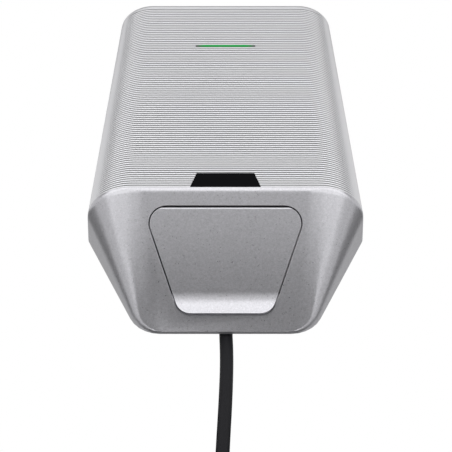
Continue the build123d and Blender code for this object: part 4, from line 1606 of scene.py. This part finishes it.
@dataclass
class SupplyLead:
    """Mains lead: a hanging run and two tied turns flat to the wall below it."""

    radius: float = 6.1
    length: float = 1.2
    exit_level: float = -86.0
    route: tuple[Point, ...] = (
        (0.0, -14.5, -58.0),
        (0.0, -14.5, -96.0),
        (1.4, -14.5, -134.0),
        (0.1, -14.5, -180.0),
        (-2.2, -13.9, -226.0),
        (-4.3, -11.0, -282.0),
        (-5.0, -9.2, -336.0),
    )
    coil_r: float = 73.5
    turns: int = 2
    turn_points: int = 16
    lay: float = 12.5
    inward_from: float = 0.76
    forward_span: float = 0.35
    rounding: int = 8
    span_steps: int = 12
    order: int = 3
    own_weight: float = 0.75

    def shift(self, turned: float) -> tuple[float, float]:
        """How far inwards and forwards of the first turn the lead lies.

        The first turn ends inside the hanging run, and the second comes out in front of the first.

        Args:
            turned: Turns made so far.

        Returns:
            Shift to the coil's middle and shift from the wall, in millimetres.
        """
        inward = smooth_step((turned - self.inward_from) / (1.0 - self.inward_from))
        forward = math.pi / 2 * smooth_step((turned - 1.0) / self.forward_span)
        return self.lay * inward * math.cos(forward), self.lay * math.sin(forward)

    def points(self) -> list[Vector]:
        """Set the control points: those of the hanging run, then those of the coil's turns.

        In the turns they lie a little further out than the lead, because its curve cuts their corners.

        Returns:
            The points in metres.
        """
        places = list(self.route)
        end_x, end_y, end_level = self.route[-1]
        step_cosine = math.cos(math.tau / self.turn_points)
        growth = 1.0 / (self.own_weight + (1.0 - self.own_weight) * step_cosine)
        for step in range(self.turns * self.turn_points):
            turned = (step + 0.5) / self.turn_points
            inward, forward = self.shift(turned)
            reach = growth * (self.coil_r - inward)
            x = end_x - self.coil_r + reach * math.cos(math.tau * turned)
            places.append((x, end_y - forward, end_level - reach * math.sin(math.tau * turned)))
        places.append((end_x, end_y - self.lay, end_level))
        return [FORM.at(*place) for place in places]

    def build(self, carried: list[bpy.types.Object]) -> bpy.types.Object:
        """Args:
            carried: Pieces on the lead; not used.

        Returns:
            The lead.
        """
        lead = drawn_wire(
            "supply_lead", [self.points()], WireLine.CURVED, self.radius, self.rounding, CABLE_RUBBER
        )
        spline = lead.data.splines[0]
        spline.resolution_u = self.span_steps
        spline.order_u = self.order
        spline.use_endpoint_u = True
        spline.use_smooth = True
        stand_for(lead, Body.HOUSING, "cable_rubber", "supply_cable", "cable_coil")
        x, y, _ = self.route[0]
        tuple(FORM.at(x, y, self.exit_level))
        return lead


@dataclass(frozen=True)
class StrippedCores:
    """Insulated cores that come out of the far end of the lead."""

    end: Point = CORE_END
    circle: float = 3.6
    core_r: float = 2.0
    count: int = 5
    length: float = 55.0
    tucked: float = 4.0
    sides: int = 20

    def build(self, tool: PatternTool) -> bpy.types.Object:
        """Set the cores round the middle of the sheath.

        Args:
            tool: Tree that sets a pattern on each point.

        Returns:
            The cores as one piece.
        """
        shape = bmesh.new()
        bmesh.ops.create_cone(
            shape,
            cap_ends=True,
            segments=self.sides,
            radius1=self.core_r * MM,
            radius2=self.core_r * MM,
            depth=(self.length + self.tucked) * MM,
        )
        core = mesh_of(shape, "core")
        smooth(core)
        x, y, level = self.end
        middle = level + (self.tucked - self.length) / 2
        turns = [math.tau * number / self.count for number in range(self.count)]
        places = [
            FORM.at(x - self.circle * math.cos(turn), y + self.circle * math.sin(turn), middle)
            for turn in turns
        ]
        cores = tool.place("stripped_cores", core, places, Vector((0.0, 0.0, 1.0)), CORE_COLOURS)
        return stand_for(cores, Body.HOUSING, "core_colours", "supply_cores")


@dataclass(frozen=True)
class SoftBox:
    """A rectangular lamp that faces the part."""

    name: str
    place: Point
    size: tuple[float, float]
    power: float


@dataclass(frozen=True)
class Flag:
    """A card that shapes the reflections."""

    name: str
    place: Point
    size: tuple[float, float]
    facing: Point
    tone: float


@dataclass
class Studio:
    """Pale floor, white surroundings, soft lamps and the camera."""

    camera_place: Point = (0.0005, -1.243, -1.132)
    camera_pitch: float = 41.1
    lens: float = 135.4
    sensor: float = 36.0
    floor_z: float = -2.8
    aim: Point = (0.0, -0.06, -0.05)
    ambient: float = 0.30
    floor_half: float = 60.0
    lamps: tuple[SoftBox, ...] = (
        SoftBox("front_softbox", (0.0, -1.9, 0.80), (1.8, 1.7), 10.6),
        SoftBox("left_softbox", (-1.35, -1.75, -0.36), (1.8, 0.9), 5.8),
        SoftBox("right_softbox", (1.35, -1.75, -0.36), (1.8, 0.9), 5.8),
        SoftBox("left_high_softbox", (-1.55, -1.35, 1.0), (1.5, 1.5), 8.6),
        SoftBox("right_high_softbox", (1.55, -1.35, 1.0), (1.5, 1.5), 8.6),
        SoftBox("low_softbox", (0.0, -0.5, -1.35), (1.3, 1.5), 9.2),
        SoftBox("back_softbox", (0.0, 1.9, 0.3), (2.2, 1.8), 12.0),
    )
    flags: tuple[Flag, ...] = (
        Flag("overhead_flag", (0.0, 0.4, 1.2), (1.2, 2.0), (0.0, 0.0, -1.0), 0.06),
        Flag("left_flag", (-0.60, 0.02, -0.75), (0.80, 1.5), (0.0, -1.0, 0.0), 0.20),
        Flag("right_flag", (0.60, 0.02, -0.75), (0.80, 1.5), (0.0, -1.0, 0.0), 0.20),
        Flag("left_high_flag", (-1.0, -0.25, 0.84), (0.5, 0.8), (0.74, 0.15, -0.65), 0.45),
        Flag("right_high_flag", (1.0, -0.25, 0.84), (0.5, 0.8), (-0.74, 0.15, -0.65), 0.45),
        Flag("wall_flag", (0.0, 0.02, -0.10), (0.40, 0.20), (0.0, -1.0, 0.0), 0.60),
        Flag("under_flag", (0.0, 0.02, -0.42), (0.44, 0.40), (0.0, -1.0, 0.0), 0.08),
        Flag("front_flag", (0.0, -1.8, -0.92), (1.0, 1.16), (0.0, 1.0, 0.0), 0.68),
        Flag("low_flag", (0.0, -0.40, -0.395), (0.9, 0.25), (0.0, 1.0, 0.0), 0.10),
    )

    def build(self) -> None:
        """Set up the whole studio."""
        self.build_camera()
        self.build_world()
        self.build_floor()
        for lamp in self.lamps:
            self.build_lamp(lamp)
        for flag in self.flags:
            self.build_flag(flag)
        bpy.context.scene.view_settings.view_transform = "Standard"

    def build_camera(self) -> None:
        """Place the camera in front of the part and well below it."""
        data = bpy.data.cameras.new("camera")
        data.lens = self.lens
        data.sensor_width = self.sensor
        camera = linked("camera", data)
        camera.location = self.camera_place
        camera.rotation_euler = (math.radians(90.0 + self.camera_pitch), 0.0, 0.0)
        bpy.context.scene.camera = camera

    def build_world(self) -> None:
        """White for the camera and for reflections, a plain grey light for the rest."""
        world = bpy.data.worlds.new("studio")
        bpy.context.scene.world = world
        graph = Graph.of(world)
        seen = seen_rays(graph)
        light = graph.add(
            "ShaderNodeBackground", {}, {"Color": (1, 1, 1, 1), "Strength": self.ambient}
        )
        white = graph.add("ShaderNodeBackground", {}, {"Color": (1, 1, 1, 1), "Strength": 1.0})
        both = graph.add("ShaderNodeMixShader", {}, {0: seen, 1: light, 2: white})
        graph.add("ShaderNodeOutputWorld", {}, {"Surface": both})

    def build_floor(self) -> None:
        """Lay a plain pale floor under the part."""
        shape = bmesh.new()
        bmesh.ops.create_grid(
            shape, x_segments=8, y_segments=8, size=self.floor_half,
            matrix=Matrix.Translation((0, 0, self.floor_z)),
        )
        pale = PaleFloor("pale_floor", (0.85, 0.85, 0.85), roughness=0.9, grain=20.0, relief=0.1)
        link_shape("floor", shape, pale)

    def build_lamp(self, lamp: SoftBox) -> None:
        """Hang a lamp that faces the part.

        Args:
            lamp: The lamp.
        """
        data = bpy.data.lights.new(lamp.name, "AREA")
        data.shape = "RECTANGLE"
        data.size, data.size_y = lamp.size
        data.energy = lamp.power
        made = linked(lamp.name, data)
        made.location = lamp.place
        aim = Vector(self.aim) - Vector(lamp.place)
        made.rotation_euler = aim.to_track_quat("-Z", "Y").to_euler()
        made.visible_camera = False

    def build_flag(self, flag: Flag) -> None:
        """Hang a card that only reflections show.

        Args:
            flag: The card.
        """
        shape = bmesh.new()
        turn = Vector(flag.facing).to_track_quat("Z", "Y")
        place = Matrix.LocRotScale(Vector(flag.place), turn, Vector((*flag.size, 1.0)))
        bmesh.ops.create_grid(shape, x_segments=1, y_segments=1, size=0.5, matrix=place)
        finish = StudioCard(flag.name, (0.0, 0.0, 0.0), tone=flag.tone)
        card = link_shape(flag.name, shape, finish)
        card.visible_camera = False
        card.visible_diffuse = False
        card.visible_transmission = False
        card.visible_shadow = False


def dress_nodes(nodes: dict[str, bpy.types.Object]) -> None:
    """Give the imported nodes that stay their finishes."""
    for name, finish in NODE_FINISHES.items():
        dress(nodes[name].data, finish)


def main() -> None:
    """Build every piece in order."""
    logging.basicConfig(level=logging.INFO, format="%(name)s: %(message)s")
    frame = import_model()
    nodes = frame["nodes"]
    Studio().build()
    tool = PatternTool()
    cores = StrippedCores().build(tool)
    lead = SupplyLead().build([nodes["cable_tie"], cores, nodes["core_ferrules"]])
    copies = (
        EasedCopy(
            "lower_cover", "sloping_lower_cover", FACE_PAINT, "metallic_grey", width=0.5,
            chosen=FlapOpening().holds,
        ),
        EasedCopy(
            "flap", "socket_flap", FACE_PAINT, "metallic_grey", Body.FLAP, width=0.3,
            chosen=FlapHinge().is_clear, eased=LipBend().moved,
        ),
        EasedCopy("badge_plate", "bare_badge_plate", GLOSS_BLACK, "black_gloss", width=0.15),
    )
    pieces = [
        lead,
        cores,
        RibbedCover().build(),
        *(copy.build(nodes) for copy in copies),
        LightLens().build(),
        *(screws.build(tool) for screws in ScrewPlan().sets()),
        FlapSprings().build(),
    ]
    dress_nodes(nodes)
    for piece in pieces:
        LOG.info("%s: %s", piece.name, piece.type.lower())


if __name__ == "__main__":
    main()
